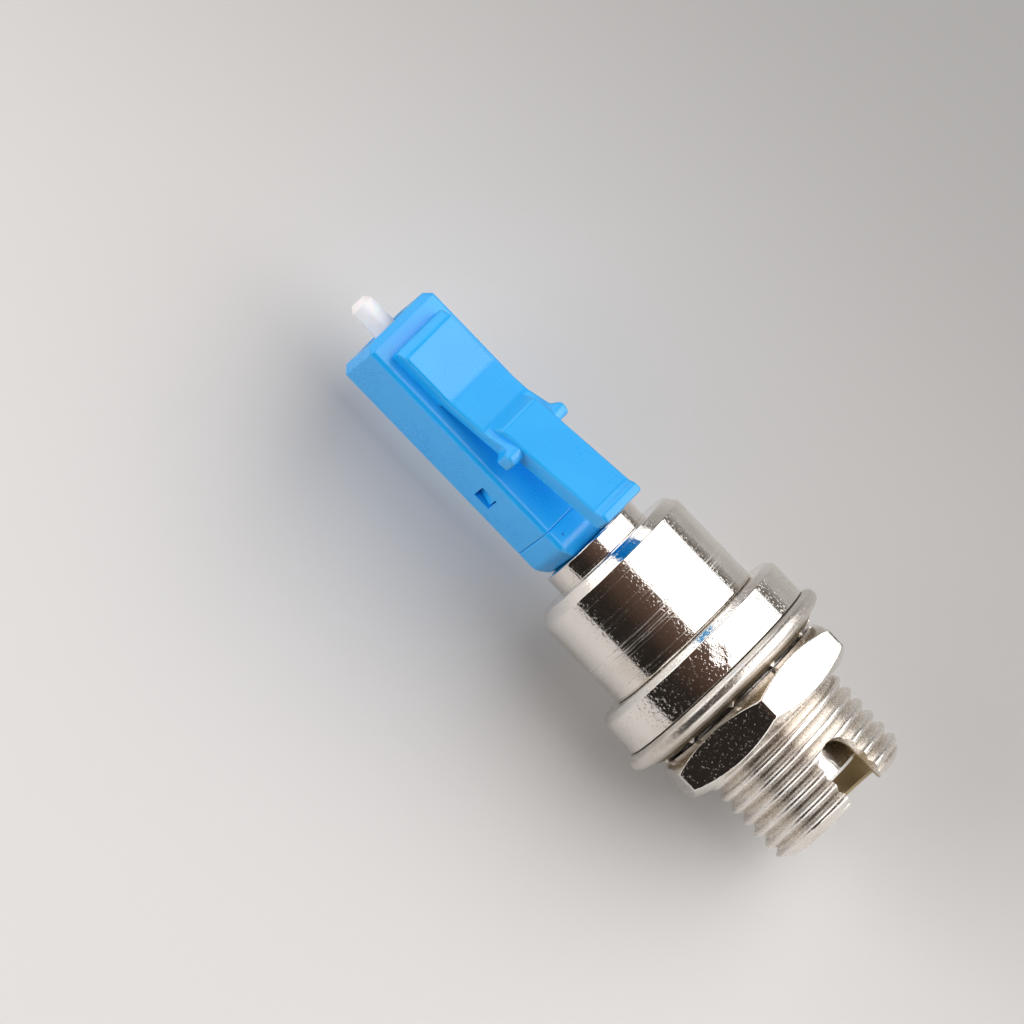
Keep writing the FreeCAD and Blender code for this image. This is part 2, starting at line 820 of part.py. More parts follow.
def make_panel_nut():
    """A turned blank with both faces chamfered, then six flats cut on it."""
    body = new_body("panel_nut", size("washer_gap") + tooth_middle + tooth_span / 2 + size("nut_gap"))
    turn_about_x(body, size("nut_angle"))
    thickness = size("nut_thickness")
    across_flats = size("nut_across_flats")
    hole = thread_radius + size("nut_clearance")
    chamfer = size("nut_bore_chamfer")
    face_radius = across_flats / 2 - size("nut_face_inset")
    blank_radius = across_flats / 2 / trig("cos", HEX_HALF_ANGLE) + size("nut_face_inset")
    slope = (blank_radius - face_radius) * trig("tan", size("nut_chamfer_angle"))
    turned(body, "nut_blank", [
        (ZERO, hole + chamfer),
        (ZERO, face_radius),
        (slope, blank_radius),
        (thickness - slope, blank_radius),
        (thickness, face_radius),
        (thickness, hole + chamfer),
        (thickness - chamfer, hole),
        (chamfer, hole),
    ])
    waste = outline(body, "flats_outline", "YZ_Plane", hexagon(across_flats), hexagon(across_flats * 2))
    through_cut(body, "flats", waste)


make_receptacle_body()
make_rear_barrel()
make_sleeve_holder()
make_split_sleeve()
make_socket_stub()
make_stub_holder()
make_fibre()
make_plug_ferrule()
make_ferrule_holder()
make_ferrule_spring()
make_plug_housing()
make_rear_cap()
make_latch_lever()
make_lock_washer()
make_panel_nut()
doc.recompute()

# Every feature must be sound before anything is written
for item in doc.Objects:
    if "Invalid" in item.State or "Error" in item.State:
        raise RuntimeError(f"{item.Name} did not compute")
os.makedirs("parts", exist_ok=True)
for node in NODES:
    if node.Shape.isNull() or not node.Shape.isValid():
        raise RuntimeError(f"{node.Label} is not a sound shape")
    node.Shape.exportStep(f"parts/{node.Label}.step")
    print(node.Label, len(node.Shape.Solids), round(node.Shape.Volume, 3), node.Shape.BoundBox)
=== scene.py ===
# %% [markdown]
# A hybrid fibre adapter is a small joining piece for light. A threaded, nickel-plated socket takes one
# kind of fibre plug, a square blue plug with a latch goes into another kind of socket, and a nut with a
# toothed washer holds the whole thing in a panel. This lesson dresses the measured solids: it rebuilds
# the pieces that show with soft edges, a true thread and moulded corners, and gives every piece its
# finish. The solids come first. They are the fixed frame, and nothing in this file moves them.

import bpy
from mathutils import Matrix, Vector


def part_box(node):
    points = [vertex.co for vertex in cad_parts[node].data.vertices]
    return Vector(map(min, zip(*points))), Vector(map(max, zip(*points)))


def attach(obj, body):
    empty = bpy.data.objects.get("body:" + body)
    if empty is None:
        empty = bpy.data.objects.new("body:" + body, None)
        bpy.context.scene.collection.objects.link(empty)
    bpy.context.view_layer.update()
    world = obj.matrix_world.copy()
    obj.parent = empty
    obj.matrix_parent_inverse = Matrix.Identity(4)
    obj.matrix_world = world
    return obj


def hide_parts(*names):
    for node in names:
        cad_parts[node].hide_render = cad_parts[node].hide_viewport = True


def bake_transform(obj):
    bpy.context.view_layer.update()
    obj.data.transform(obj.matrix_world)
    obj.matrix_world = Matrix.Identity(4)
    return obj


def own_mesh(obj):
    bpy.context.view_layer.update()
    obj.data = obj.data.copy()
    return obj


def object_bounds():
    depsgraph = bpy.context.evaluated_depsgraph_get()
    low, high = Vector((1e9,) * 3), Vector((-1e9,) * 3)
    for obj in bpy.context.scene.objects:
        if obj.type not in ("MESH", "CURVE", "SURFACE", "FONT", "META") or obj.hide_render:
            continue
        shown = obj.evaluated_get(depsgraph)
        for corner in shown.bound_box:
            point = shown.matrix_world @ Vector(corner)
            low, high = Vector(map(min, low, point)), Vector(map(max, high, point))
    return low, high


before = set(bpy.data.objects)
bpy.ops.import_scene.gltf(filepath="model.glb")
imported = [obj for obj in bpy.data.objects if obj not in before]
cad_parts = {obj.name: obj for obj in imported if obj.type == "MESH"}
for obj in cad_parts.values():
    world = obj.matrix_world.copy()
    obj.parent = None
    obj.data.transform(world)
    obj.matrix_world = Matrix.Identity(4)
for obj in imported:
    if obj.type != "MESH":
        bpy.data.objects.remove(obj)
cad_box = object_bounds()
print("solids:", ", ".join(sorted(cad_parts)))

# %% [markdown]
# Blender counts in metres, and a maker of such parts counts in millimetres. One constant turns the sizes
# below into metres. The places along the light path are read from the solids' own boxes, so a dressed
# piece sits where its solid sits: X runs from the square plug to the threaded socket, and Z is up.

# %% Units and places along the light path
import math

import bmesh
import bpy
from mathutils import Matrix, Vector

MM = 0.001
scene = bpy.context.scene


def reach(node, axis=0):
    """The lowest and highest place of a solid along one axis, in millimetres."""
    low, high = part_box(node)
    return low[axis] / MM, high[axis] / MM


flange_back, thread_end = reach("receptacle_body")
stem_end, spigot_end = reach("rear_barrel")
plug_front, plug_back = reach("plug_housing")
insert_end, cap_back = reach("rear_cap")
washer_back = reach("lock_washer")[0]
nut_back, nut_front = reach("panel_nut")
print("thread ends at %.2f mm, plug starts at %.2f mm" % (thread_end, plug_front))

# %% [markdown]
# Node trees can be drawn by hand, but a finish is easier to read as a formula. The small class below
# wraps one output socket. Arithmetic on it adds Math nodes, so `1 - mask` works as it reads, and `node`
# adds any other kind of node: its settings first, then the values or links of its sockets. The same class
# serves the materials and the geometry trees, because both kinds of tree share the Math node.

# %% Node trees as formulas


class Signal:
    """An output socket in a node tree, to calculate with."""

    def __init__(self, tree, socket=None):
        self.tree = tree
        self.socket = socket

    def node(self, kind, settings=None, sockets=None, output=0):
        """Add a node, set it up, feed its sockets and hand back one of its outputs."""
        made = self.tree.nodes.new(kind)
        for name, value in (settings or {}).items():
            if name == "stops":
                set_stops(made.color_ramp, value)
            else:
                setattr(made, name, value)
        for name, value in (sockets or {}).items():
            if isinstance(value, Signal):
                self.tree.links.new(value.socket, made.inputs[name])
            else:
                made.inputs[name].default_value = value
        return Signal(self.tree, made.outputs[output])

    def output(self, name):
        """Another output of the same node."""
        return Signal(self.tree, self.socket.node.outputs[name])

    def math(self, operation, *terms):
        """A Math node on the given terms, in their order."""
        return self.node("ShaderNodeMath", {"operation": operation}, dict(enumerate(terms)))

    def __add__(self, other):
        return self.math("ADD", self, other)

    __radd__ = __add__

    def __sub__(self, other):
        return self.math("SUBTRACT", self, other)

    def __rsub__(self, other):
        return self.math("SUBTRACT", other, self)

    def __mul__(self, other):
        return self.math("MULTIPLY", self, other)

    __rmul__ = __mul__

    def __truediv__(self, other):
        return self.math("DIVIDE", self, other)

    def __rtruediv__(self, other):
        return self.math("DIVIDE", other, self)


def set_stops(ramp, stops):
    """Set a colour ramp's stops, as pairs of a place and a colour."""
    while len(ramp.elements) < len(stops):
        ramp.elements.new(1.0)
    for element, (place, colour) in zip(ramp.elements, stops):
        element.position = place
        element.color = (*colour, 1.0)


print("formulas ready")

# %% [markdown]
# Most pieces here come off a lathe or out of a square mould, so one idea makes nearly all of them: a
# closed skin through loops of points. A lathe piece is a half section that is spun round the light path.
# A moulded piece is a row of square and round loops along it. Real edges are never knife sharp, and it is
# the soft edge that catches the light, so every section has its corners rounded first. A support point on
# each side of a rounding keeps the flat next to it flat when the mesh is shaded smooth. A corner that
# names no rounding of its own gets the small break that every tool leaves.

# %% Skins through loops of points
EDGE_BREAK = 0.04
EDGE_STEPS = 4
CORNER_POINTS = EDGE_STEPS + 3
EDGE_SHARE = 0.4
SUPPORT_SHARE = 1.2
WELD = 1e-7
CREASE = math.radians(32)


def soften(corners):
    """Round the corners of a closed section: each a place along, a distance out and perhaps a rounding."""
    points = []
    for number, (along, out, *rounding) in enumerate(corners):
        here = Vector((along, out))
        radius = rounding[0] if rounding else EDGE_BREAK
        before = Vector(corners[number - 1][:2]) - here
        after = Vector(corners[(number + 1) % len(corners)][:2]) - here
        half_turn = before.angle(after) / 2
        cut = min(radius / math.tan(half_turn), EDGE_SHARE * before.length, EDGE_SHARE * after.length)
        start = before.normalized() * cut
        end = after.normalized() * cut
        points.append(here + start * SUPPORT_SHARE)
        for step in range(EDGE_STEPS + 1):
            share = step / EDGE_STEPS
            points.append(here + start * (1 - share) ** 2 + end * share ** 2)
        points.append(here + end * SUPPORT_SHARE)
    return points


def new_piece(name, mesh):
    """A mesh as an object of the scene, at the origin."""
    piece = bpy.data.objects.new(name, mesh)
    scene.collection.objects.link(piece)
    return piece


def mesh_piece(name, points, faces):
    """A piece from points in millimetres and faces between them."""
    mesh = bpy.data.meshes.new(name)
    mesh.from_pydata([[part * MM for part in point] for point in points], [], faces)
    return new_piece(name, mesh)


def close_mesh(mesh):
    """Weld a mesh, turn its faces outwards and shade it smooth, with its sharp edges kept."""
    shape = bmesh.new()
    shape.from_mesh(mesh)
    bmesh.ops.remove_doubles(shape, verts=shape.verts, dist=WELD)
    bmesh.ops.dissolve_degenerate(shape, edges=shape.edges, dist=WELD)
    bmesh.ops.recalc_face_normals(shape, faces=shape.faces)
    open_edges = sum(1 for edge in shape.edges if not edge.is_manifold)
    shape.to_mesh(mesh)
    shape.free()
    mesh.shade_smooth()
    mesh.set_sharp_from_angle(angle=CREASE)
    return open_edges


def checked(piece):
    """Close a piece's mesh, print what came out and hand the piece back."""
    print(piece.name, "open edges:", close_mesh(piece.data), "faces:", len(piece.data.polygons))
    return piece


def skin(name, loops, closed=True):
    """A mesh through loops of points. A closed one also joins the last point of each loop to its first."""
    count = len(loops[0])
    points = [point for loop in loops for point in loop]
    faces = []
    for number in range(len(loops)):
        here = number * count
        there = (number + 1) % len(loops) * count
        for step in range(count if closed else count - 1):
            after = (step + 1) % count
            faces.append((here + step, here + after, there + after, there + step))
    return mesh_piece(name, points, faces)


print("points at a rounded corner:", CORNER_POINTS)

# %% [markdown]
# A lathe turns the work past a tool, and what is left is the tool's path, spun. The same happens here:
# the half section is set at small steps of a full turn, and a skin joins the steps. The section may also
# change with the angle, and then the same function makes a piece with flats.

# %% Lathe work
TURN_STEPS = 144


def spun(name, section_at, closed=True):
    """A piece round the light path, from its section at each angle."""
    loops = []
    for step in range(TURN_STEPS):
        angle = math.tau * step / TURN_STEPS
        loops.append([(x, r * math.cos(angle), r * math.sin(angle)) for x, r in section_at(angle)])
    return skin(name, loops, closed)


def turned(name, corners):
    """A lathe piece: the same softened section all the way round."""
    section = soften(corners)
    return checked(spun(name, lambda angle: section))


print("steps in a full turn:", TURN_STEPS)

# %% [markdown]
# What can't be turned is cut out or welded on. A Boolean modifier does both, and its result is baked into
# a plain mesh at once, so that the tool can be thrown away. The tools are prisms: a flat outline, pulled
# to a height. A tool that cuts reaches past the piece, because two faces in one plane would confuse the
# cut.

# %% Cutting tools
TOOL_REACH = 1.0


def baked(piece):
    """Turn what a piece's modifiers make into its plain mesh, and take the modifiers off."""
    evaluated = piece.evaluated_get(bpy.context.evaluated_depsgraph_get())
    mesh = bpy.data.meshes.new_from_object(evaluated)
    piece.modifiers.clear()
    piece.data = mesh


def carve(piece, tool, operation="DIFFERENCE"):
    """Cut a tool out of a piece, or weld it on, and throw the tool away."""
    step = piece.modifiers.new(operation, "BOOLEAN")
    step.operation = operation
    step.solver = "EXACT"
    step.object = tool
    baked(piece)
    bpy.data.objects.remove(tool)


def prism(name, outline, low, high, upright=True):
    """A straight-sided solid over a flat outline, along Z if upright and along Y if not."""
    count = len(outline)
    points = []
    for level in (low, high):
        points += [(x, y, level) if upright else (x, level, y) for x, y in outline]
    faces = [tuple(range(count)), tuple(range(count, 2 * count))]
    for step in range(count):
        after = (step + 1) % count
        faces.append((step, after, count + after, count + step))
    piece = mesh_piece(name, points, faces)
    close_mesh(piece.data)
    return piece


def rectangle(low, high):
    """The outline of a rectangle, from its lowest and its highest corner."""
    return [low, (high[0], low[1]), high, (low[0], high[1])]


print("tools reach past a piece by", TOOL_REACH, "mm")

# %% [markdown]
# The photograph looks down on the adapter from high on its near side, through a long lens, with the light
# path running down to the right. The lens here is long as well, so near and far parts keep one scale. The
# camera is aimed at the middle of the picture, which lies beside the light path, and then rolled until
# the path runs at its angle in the picture.

# %% Camera
VIEW_AZIMUTH = math.radians(-7.7)
VIEW_ELEVATION = math.radians(68.7)
PATH_ANGLE = math.radians(46.0)
PICTURE_WIDTH = 48.0
PICTURE_ALONG = -12.05
PICTURE_ACROSS = -1.664
LENS_HALF_ANGLE = math.radians(2.3)
SENSOR = 36.0
NEAR_CLIP = 0.01
FAR_CLIP = 10.0

to_camera = Vector((
    math.sin(VIEW_AZIMUTH) * math.cos(VIEW_ELEVATION),
    -math.cos(VIEW_AZIMUTH) * math.cos(VIEW_ELEVATION),
    math.sin(VIEW_ELEVATION),
))
path = Vector((1, 0, 0))
path_seen = (path - to_camera * path.dot(to_camera)).normalized()
across_seen = to_camera.cross(path_seen)
right = path_seen * math.cos(PATH_ANGLE) + across_seen * math.sin(PATH_ANGLE)
up = across_seen * math.cos(PATH_ANGLE) - path_seen * math.sin(PATH_ANGLE)
aim = (path_seen * PICTURE_ALONG + across_seen * PICTURE_ACROSS) * MM
distance = PICTURE_WIDTH / 2 * MM / math.tan(LENS_HALF_ANGLE)

lens = bpy.data.cameras.new("long_lens")
lens.sensor_width = SENSOR
lens.lens = SENSOR / 2 / math.tan(LENS_HALF_ANGLE)
lens.clip_start = NEAR_CLIP
lens.clip_end = FAR_CLIP
camera = bpy.data.objects.new("camera", lens)
camera.matrix_world = Matrix((
    (right.x, up.x, to_camera.x, aim.x + to_camera.x * distance),
    (right.y, up.y, to_camera.y, aim.y + to_camera.y * distance),
    (right.z, up.z, to_camera.z, aim.z + to_camera.z * distance),
    (0, 0, 0, 1),
))
scene.collection.objects.link(camera)
scene.camera = camera
print("camera %.0f mm away, lens %.0f mm" % (distance / MM, lens.lens))

# %% [markdown]
# Polished nickel has hardly a colour of its own: it shows the room. In the photograph the barrel is white
# above, dark brown in the middle and pale below. That is a wide soft light over the far side, a dark room
# on the near side, and a pale table underneath. So the light here is one large softbox that spans the sky
# from just before the top to low on the far side. It reaches further towards the socket than towards the
# plug, so the faces that lean to the plug stay a tone darker. Two weaker lights stand at the ends of the
# light path for reflections alone: only chamfers and thread flanks lean that way, so only they light up.
# A last soft light fills the shade on the near side. It is kept out of reflections, so the dark band on
# the metal stays dark.

# %% Lights
SOFTBOX_START = math.radians(-7)
SOFTBOX_END = math.radians(73)
SOFTBOX_LENGTH = 2.3
SOFTBOX_SHIFT = 0.82
SOFTBOX_GLOW = 2.1
END_LIGHTS = {"plug_end": ((-1.0, -0.1, 0.3), 1.5), "socket_end": ((1.0, -0.1, 0.3), 1.4)}
END_LIGHT_SIZE = (1.9, 1.0)
FILL_DIRECTION = (-0.7, -0.62, 0.36)
FILL_GLOW = 3.5
FILL_SIZE = 0.8
LIGHT_DISTANCE = 1.0


def soft_light(name, direction, size, glow, shift=0.0):
    """A rectangular light in a direction, turned to the object and as bright as its glow all over."""
    light = bpy.data.lights.new(name, "AREA")
    light.shape = "RECTANGLE"
    light.size, light.size_y = size
    light.energy = glow * math.pi * size[0] * size[1]
    facing = Vector(direction).normalized()
    lamp = bpy.data.objects.new(name, light)
    lamp.location = facing * LIGHT_DISTANCE + path * shift
    lamp.rotation_mode = "QUATERNION"
    lamp.rotation_quaternion = facing.to_track_quat("Z", "Y")
    lamp.visible_camera = False
    scene.collection.objects.link(lamp)
    return lamp


middle = (SOFTBOX_START + SOFTBOX_END) / 2
softbox_size = (SOFTBOX_LENGTH, 2 * LIGHT_DISTANCE * math.tan((SOFTBOX_END - SOFTBOX_START) / 2))
soft_light("softbox", (0, math.sin(middle), math.cos(middle)), softbox_size, SOFTBOX_GLOW, SOFTBOX_SHIFT)
for name, (direction, glow) in END_LIGHTS.items():
    soft_light(name, direction, END_LIGHT_SIZE, glow).visible_diffuse = False
fill = soft_light("fill", FILL_DIRECTION, (FILL_SIZE, FILL_SIZE), FILL_GLOW)
fill.visible_glossy = False
print("lights:", len(bpy.data.lights))

# %% [markdown]
# A mirror needs something to look at beside the lights. An arch stands round the light path like a tunnel
# and glows faintly: black low on the near side, brown higher up, and grey on the far side below the
# softbox. The camera doesn't see it, only the reflections do. One big emission would make the band on the
# barrel flat, so the arch's colour follows its angle. The arch and the floor are only a stage, not a part
# of the adapter.

# %% Room and floor
ARCH_RADIUS = 1.4
ARCH_HALF = 1.8
ARCH_STEPS = 48
ARCH_SPAN = math.radians(95)
ARCH_TONES = [
    (0.0, (0.02, 0.018, 0.016)),
    (0.2, (0.028, 0.022, 0.019)),
    (0.36, (0.1, 0.06, 0.045)),
    (0.46, (0.15, 0.092, 0.07)),
    (0.86, (0.05, 0.046, 0.042)),
    (0.91, (0.14, 0.13, 0.12)),
    (0.97, (0.36, 0.34, 0.32)),
]
FLOOR_HALF = 3.0
FLOOR_GAP = 0.02
FLOOR_THICKNESS = 1.0
ROOM_TINT = (0.9, 0.8, 0.7, 1.0)
ROOM_GLOW = 0.02

arch_points = []
for step in range(ARCH_STEPS + 1):
    angle = ARCH_SPAN * (2 * step / ARCH_STEPS - 1)
    for side in (-ARCH_HALF, ARCH_HALF):
        arch_points.append((side, ARCH_RADIUS * math.sin(angle), ARCH_RADIUS * math.cos(angle)))
arch_mesh = bpy.data.meshes.new("arch")
arch_faces = [(2 * step, 2 * step + 1, 2 * step + 3, 2 * step + 2) for step in range(ARCH_STEPS)]
arch_mesh.from_pydata(arch_points, [], arch_faces)
arch = new_piece("arch", arch_mesh)
arch.visible_camera = False

room = bpy.data.worlds.new("room")
room.use_nodes = True
backdrop = room.node_tree.nodes["Background"]
backdrop.inputs["Color"].default_value = ROOM_TINT
backdrop.inputs["Strength"].default_value = ROOM_GLOW
scene.world = room
scene.view_settings.view_transform = "Standard"

floor_level = cad_box[0].z / MM - FLOOR_GAP
floor_edge = FLOOR_HALF / MM
floor_outline = rectangle((-floor_edge, -floor_edge), (floor_edge, floor_edge))
floor = prism("floor", floor_outline, floor_level - FLOOR_THICKNESS, floor_level)
print("floor at %.2f mm" % floor_level)

# %% [markdown]
# A finish is a formula of the place on the piece. A few functions make the terms that come back in every
# finish: a noise over places in millimetres, a ramp that stretches a value, a spot that fades with the
# distance from one place, a blend of two colours, and a relief that only the light sees.

# %% Terms of the finishes
NOISE_DETAIL = 3.0
NOISE_ROUGHNESS = 0.55
CRUMPLES_PER_MM = 4.0


def new_finish(name):
    """A new material, its tree to calculate in, and its shader."""
    finish = bpy.data.materials.new(name)
    finish.use_nodes = True
    return finish, Signal(finish.node_tree), finish.node_tree.nodes["Principled BSDF"]


def in_mm(tree):
    """The place on the piece in millimetres."""
    place = tree.node("ShaderNodeTexCoord", output="Object")
    return tree.node("ShaderNodeVectorMath", {"operation": "SCALE"}, {0: place, "Scale": 1 / MM})


def noise(tree, place, scale, detail=NOISE_DETAIL, roughness=NOISE_ROUGHNESS):
    """A noise value over places in millimetres."""
    sockets = {"Vector": place, "Scale": scale, "Detail": detail, "Roughness": roughness}
    return tree.node("ShaderNodeTexNoise", sockets=sockets)


def ramp(tree, value, start, end):
    """A value stretched to run from zero at the start to one at the end."""
    sockets = {"Value": value, "From Min": start, "From Max": end}
    return tree.node("ShaderNodeMapRange", {"interpolation_type": "SMOOTHSTEP"}, sockets)


def spot(tree, place, centre, size, ragged=0.0):
    """One at a place in millimetres, falling to zero at a distance from it, with a ragged edge."""
    sockets = {0: place, 1: centre}
    away = tree.node("ShaderNodeVectorMath", {"operation": "DISTANCE"}, sockets, output="Value")
    edge = noise(tree, place, CRUMPLES_PER_MM) * ragged + away - ragged / 2
    return 1 - ramp(tree, edge, 0.0, size)


def blend_colours(tree, share, first, second):
    """A colour between two, each of them a plain colour or a link."""
    as_colour = [part if isinstance(part, Signal) else (*part, 1.0) for part in (first, second)]
    sockets = {0: share, 6: as_colour[0], 7: as_colour[1]}
    return tree.node("ShaderNodeMix", {"data_type": "RGBA"}, sockets, output=2)


def bump(tree, height, depth, strength):
    """A small relief of the given depth in metres."""
    return tree.node("ShaderNodeBump", sockets={"Height": height, "Distance": depth, "Strength": strength})


def feed(shader, **values):
    """Link signals to the shader's sockets or set plain values; an underscore stands for a space."""
    for name, value in values.items():
        socket = shader.inputs[name.replace("_", " ")]
        if isinstance(value, Signal):
            value.tree.links.new(value.socket, socket)
        else:
            socket.default_value = value


print("terms of the finishes ready")

# %% [markdown]
# Nickel plating on turned brass. A lathe tool leaves fine rings, so the roughness changes quickly along the
# light path and hardly at all round it: a one-dimensional noise of the place along the path does that, and a
# slower one says where the rings show. A slow cloudy noise lets the plating go a little brown. Small pits in
# the plating tilt the mirror, so each one throws a speck of light into the dark band. A thread is torn
# rather than turned, so beyond the flange the socket is duller. Its flange has one small dent, where
# something knocked it: a hollow that fades with the distance from its place. Inside the socket and on the
# washer's cone the colour turns darker and browner below a radius. Inside the socket that is bare brass,
# darkened further as painted shade of the bore. On the cone it is painted shade of the groove by the nut.

# %% Metal recipe
RINGS_PER_MM = 9.0
RING_RANGE = (0.48, 0.66)
RING_WANDER = 0.12
RING_HEIGHT = 0.4
RING_GROUPS_PER_MM = 0.9
GROUP_RANGE = (0.42, 0.6)
CLOUDS_PER_MM = 0.45
STAIN_RANGE = (0.45, 0.8)
BROWN_STAIN = (0.42, 0.33, 0.25)
PITS_PER_MM = 7.0
PIT_DETAIL = 1.5
PIT_RANGE = (0.52, 0.74)
PIT_STAIN = 0.1
PIT_HAZE = 0.28
PLATE_RELIEF = 1.4e-5
PLATE_RELIEF_STRENGTH = 0.7
THREAD_FADE = 0.3
THREAD_PIT_LOSS = 0.6
DENT_PLACE = (-0.8, -1.36, 5.33)
DENT_SIZE = 0.6
DENT_DEPTH = 3.0
DARK_ZONE_FADE = 0.2
DARK_ZONE_END_FADE = 0.1
DARK_ZONE_HAZE = 0.12


def rings_of(tree, place, scale, start, end):
    """Rings round the light path, from a noise of the place along it."""
    sockets = {"W": place, "Scale": scale, "Detail": NOISE_DETAIL}
    lines = tree.node("ShaderNodeTexNoise", {"noise_dimensions": "1D"}, sockets)
    return ramp(tree, lines, start, end)


def plated_metal(name, colour, smooth, rough, stained, lined, pitted, torn=0.0, bare=None):
    """Plate with lathe rings, brown clouds and fine pits; dull on a torn thread, and darker below a radius
    as painted shade, over bare brass inside the socket.
    """
    finish, tree, shader = new_finish(name)
    place = in_mm(tree)
    along = tree.node("ShaderNodeSeparateXYZ", sockets={0: place}, output="X")
    cloud = noise(tree, place, CLOUDS_PER_MM)
    rings = rings_of(tree, along + cloud * RING_WANDER, RINGS_PER_MM, *RING_RANGE)
    streaks = rings * rings_of(tree, along, RING_GROUPS_PER_MM, *GROUP_RANGE) * lined
    pits = ramp(tree, noise(tree, place, PITS_PER_MM, PIT_DETAIL), *PIT_RANGE)
    stain = ramp(tree, cloud, *STAIN_RANGE) * stained + pits * PIT_STAIN
    plate = blend_colours(tree, stain, colour, BROWN_STAIN)
    haze = streaks * (rough - smooth) + pits * pitted * PIT_HAZE + smooth
    pit_depth = pitted
    dent = 0.0
    if torn:
        thread_side = ramp(tree, along, 0.0, THREAD_FADE)
        haze = haze + thread_side * torn
        pit_depth = pitted - thread_side * pitted * THREAD_PIT_LOSS
        dent = spot(tree, place, DENT_PLACE, DENT_SIZE, DENT_SIZE) * DENT_DEPTH
    # Below a radius the colour turns darker and browner: painted shade of a recess, over bare brass inside
    # the socket.
    if bare:
        dark_zone_radius, dark_zone_end, metal = bare
        across = along.output("Y")
        height = along.output("Z")
        radius = tree.math("SQRT", across * across + height * height)
        outside = ramp(tree, radius, dark_zone_radius, dark_zone_radius + DARK_ZONE_FADE)
        bare_and_shaded = (1 - outside) * (1 - ramp(tree, along, dark_zone_end, dark_zone_end + DARK_ZONE_END_FADE))
        plate = blend_colours(tree, bare_and_shaded, plate, metal)
        haze = haze + bare_and_shaded * DARK_ZONE_HAZE
    relief = streaks * RING_HEIGHT - pits * pit_depth - dent
    uneven = bump(tree, relief, PLATE_RELIEF, PLATE_RELIEF_STRENGTH)
    feed(shader, Base_Color=plate, Roughness=haze, Normal=uneven, Metallic=1.0)
    return finish


print("metal recipe ready")

# %% [markdown]
# One recipe makes every metal piece, with other amounts: how smooth the polish is and how rough the rings
# are, how brown the stains get, how strongly the rings show and how deep the pits are. Where a piece has
# painted shade in a recess, the amounts also say below which radius, up to which place along the light path,
# and in which darker colour.

# %% Metal finishes
WARM_NICKEL = (0.83, 0.79, 0.74)
PALE_STEEL = (0.72, 0.68, 0.63)
WHITE_NICKEL = (0.86, 0.84, 0.8)
GREY_STEEL = (0.62, 0.61, 0.6)
# Inside the socket's bore: bare brass, darkened further as painted shade.
SOCKET_BRASS_AND_SHADE = (3.1, thread_end, (0.36, 0.28, 0.165))
# On the washer's cone: dark brown that is painted shade of the groove by the nut.
CONE_PAINTED_SHADE = (5.05, 1.17, (0.2, 0.155, 0.095))

turned_nickel = plated_metal(
    "turned_nickel", WARM_NICKEL,
    smooth=0.08, rough=0.38, stained=0.3, lined=1.0, pitted=0.4,
)
socket_nickel = plated_metal(
    "socket_nickel", WARM_NICKEL,
    smooth=0.1, rough=0.3, stained=0.3, lined=0.3, pitted=0.8, torn=0.16, bare=SOCKET_BRASS_AND_SHADE,
)
nut_nickel = plated_metal(
    "nut_nickel", WARM_NICKEL,
    smooth=0.1, rough=0.26, stained=0.3, lined=0.15, pitted=0.75,
)
washer_steel = plated_metal(
    "washer_steel", PALE_STEEL,
    smooth=0.28, rough=0.45, stained=0.5, lined=0.4, pitted=0.8, bare=CONE_PAINTED_SHADE,
)
holder_metal = plated_metal(
    "holder_metal", WHITE_NICKEL,
    smooth=0.2, rough=0.32, stained=0.1, lined=0.6, pitted=0.4,
)
spring_steel = plated_metal(
    "spring_steel", GREY_STEEL,
    smooth=0.2, rough=0.4, stained=0.3, lined=0.3, pitted=0.3,
)
print("metal finishes: turned, socket, nut, washer, holder, spring")

# %% [markdown]
# The plug is moulded in a bright blue plastic. The mould was spark-eroded, so the surface has a very fine
# grain that scatters the light, and the colour swims a little where the plastic flowed. A small speck of
# dirt sits on the rear cap. It is too thin to have a shape, so it is a spot of another colour.

# %% Plastic finish
PLASTIC_BLUE = (0.005, 0.42, 0.98)
PLASTIC_PALE = (0.02, 0.49, 1.0)
PLASTIC_HAZE = 0.2
GRAIN_PER_MM = 16.0
GRAIN_DETAIL = 4.0
GRAIN_ROUGHNESS = 0.6
GRAIN_RANGE = (0.55, 0.75)
GRAIN_SHARE = 0.12
GRAIN_HAZE = 0.12
GRAIN_DEPTH = 6e-6
GRAIN_STRENGTH = 0.5
FLOW_PER_MM = 0.35
FLOW_DETAIL = 2.0
FLOW_RANGE = (0.3, 0.75)
FLOW_SHARE = 0.35
FLOW_HAZE = 0.06
SPECK_PLACE = (-9.8, -1.58, 2.225)
SPECK_SIZE = 0.09
SPECK_COLOUR = (0.0, 0.06, 0.3)


def moulded_plastic(name):
    """Satin plastic with a spark-eroded grain, slow swirls of colour and one speck of dirt."""
    finish, tree, shader = new_finish(name)
    place = in_mm(tree)
    grain = noise(tree, place, GRAIN_PER_MM, GRAIN_DETAIL, GRAIN_ROUGHNESS)
    flow = noise(tree, place, FLOW_PER_MM, FLOW_DETAIL)
    share = ramp(tree, flow, *FLOW_RANGE) * FLOW_SHARE + ramp(tree, grain, *GRAIN_RANGE) * GRAIN_SHARE
    swirls = blend_colours(tree, share, PLASTIC_BLUE, PLASTIC_PALE)
    speck = spot(tree, place, SPECK_PLACE, SPECK_SIZE)
    feed(
        shader,
        Base_Color=blend_colours(tree, speck, swirls, SPECK_COLOUR),
        Roughness=grain * GRAIN_HAZE + flow * FLOW_HAZE + PLASTIC_HAZE,
        Normal=bump(tree, grain, GRAIN_DEPTH, GRAIN_STRENGTH),
        Specular_IOR_Level=0.8,
    )
    return finish


blue_plastic = moulded_plastic("blue_plastic")
print("plastic finish: blue")

# %% [markdown]
# The ferrule and the sleeve are zirconia, a dense white ceramic that lets light in a little way, so its
# shade stays soft. The fibre is bare glass, and as thin as a hair, so a faint tint is all the colour that
# it gets.

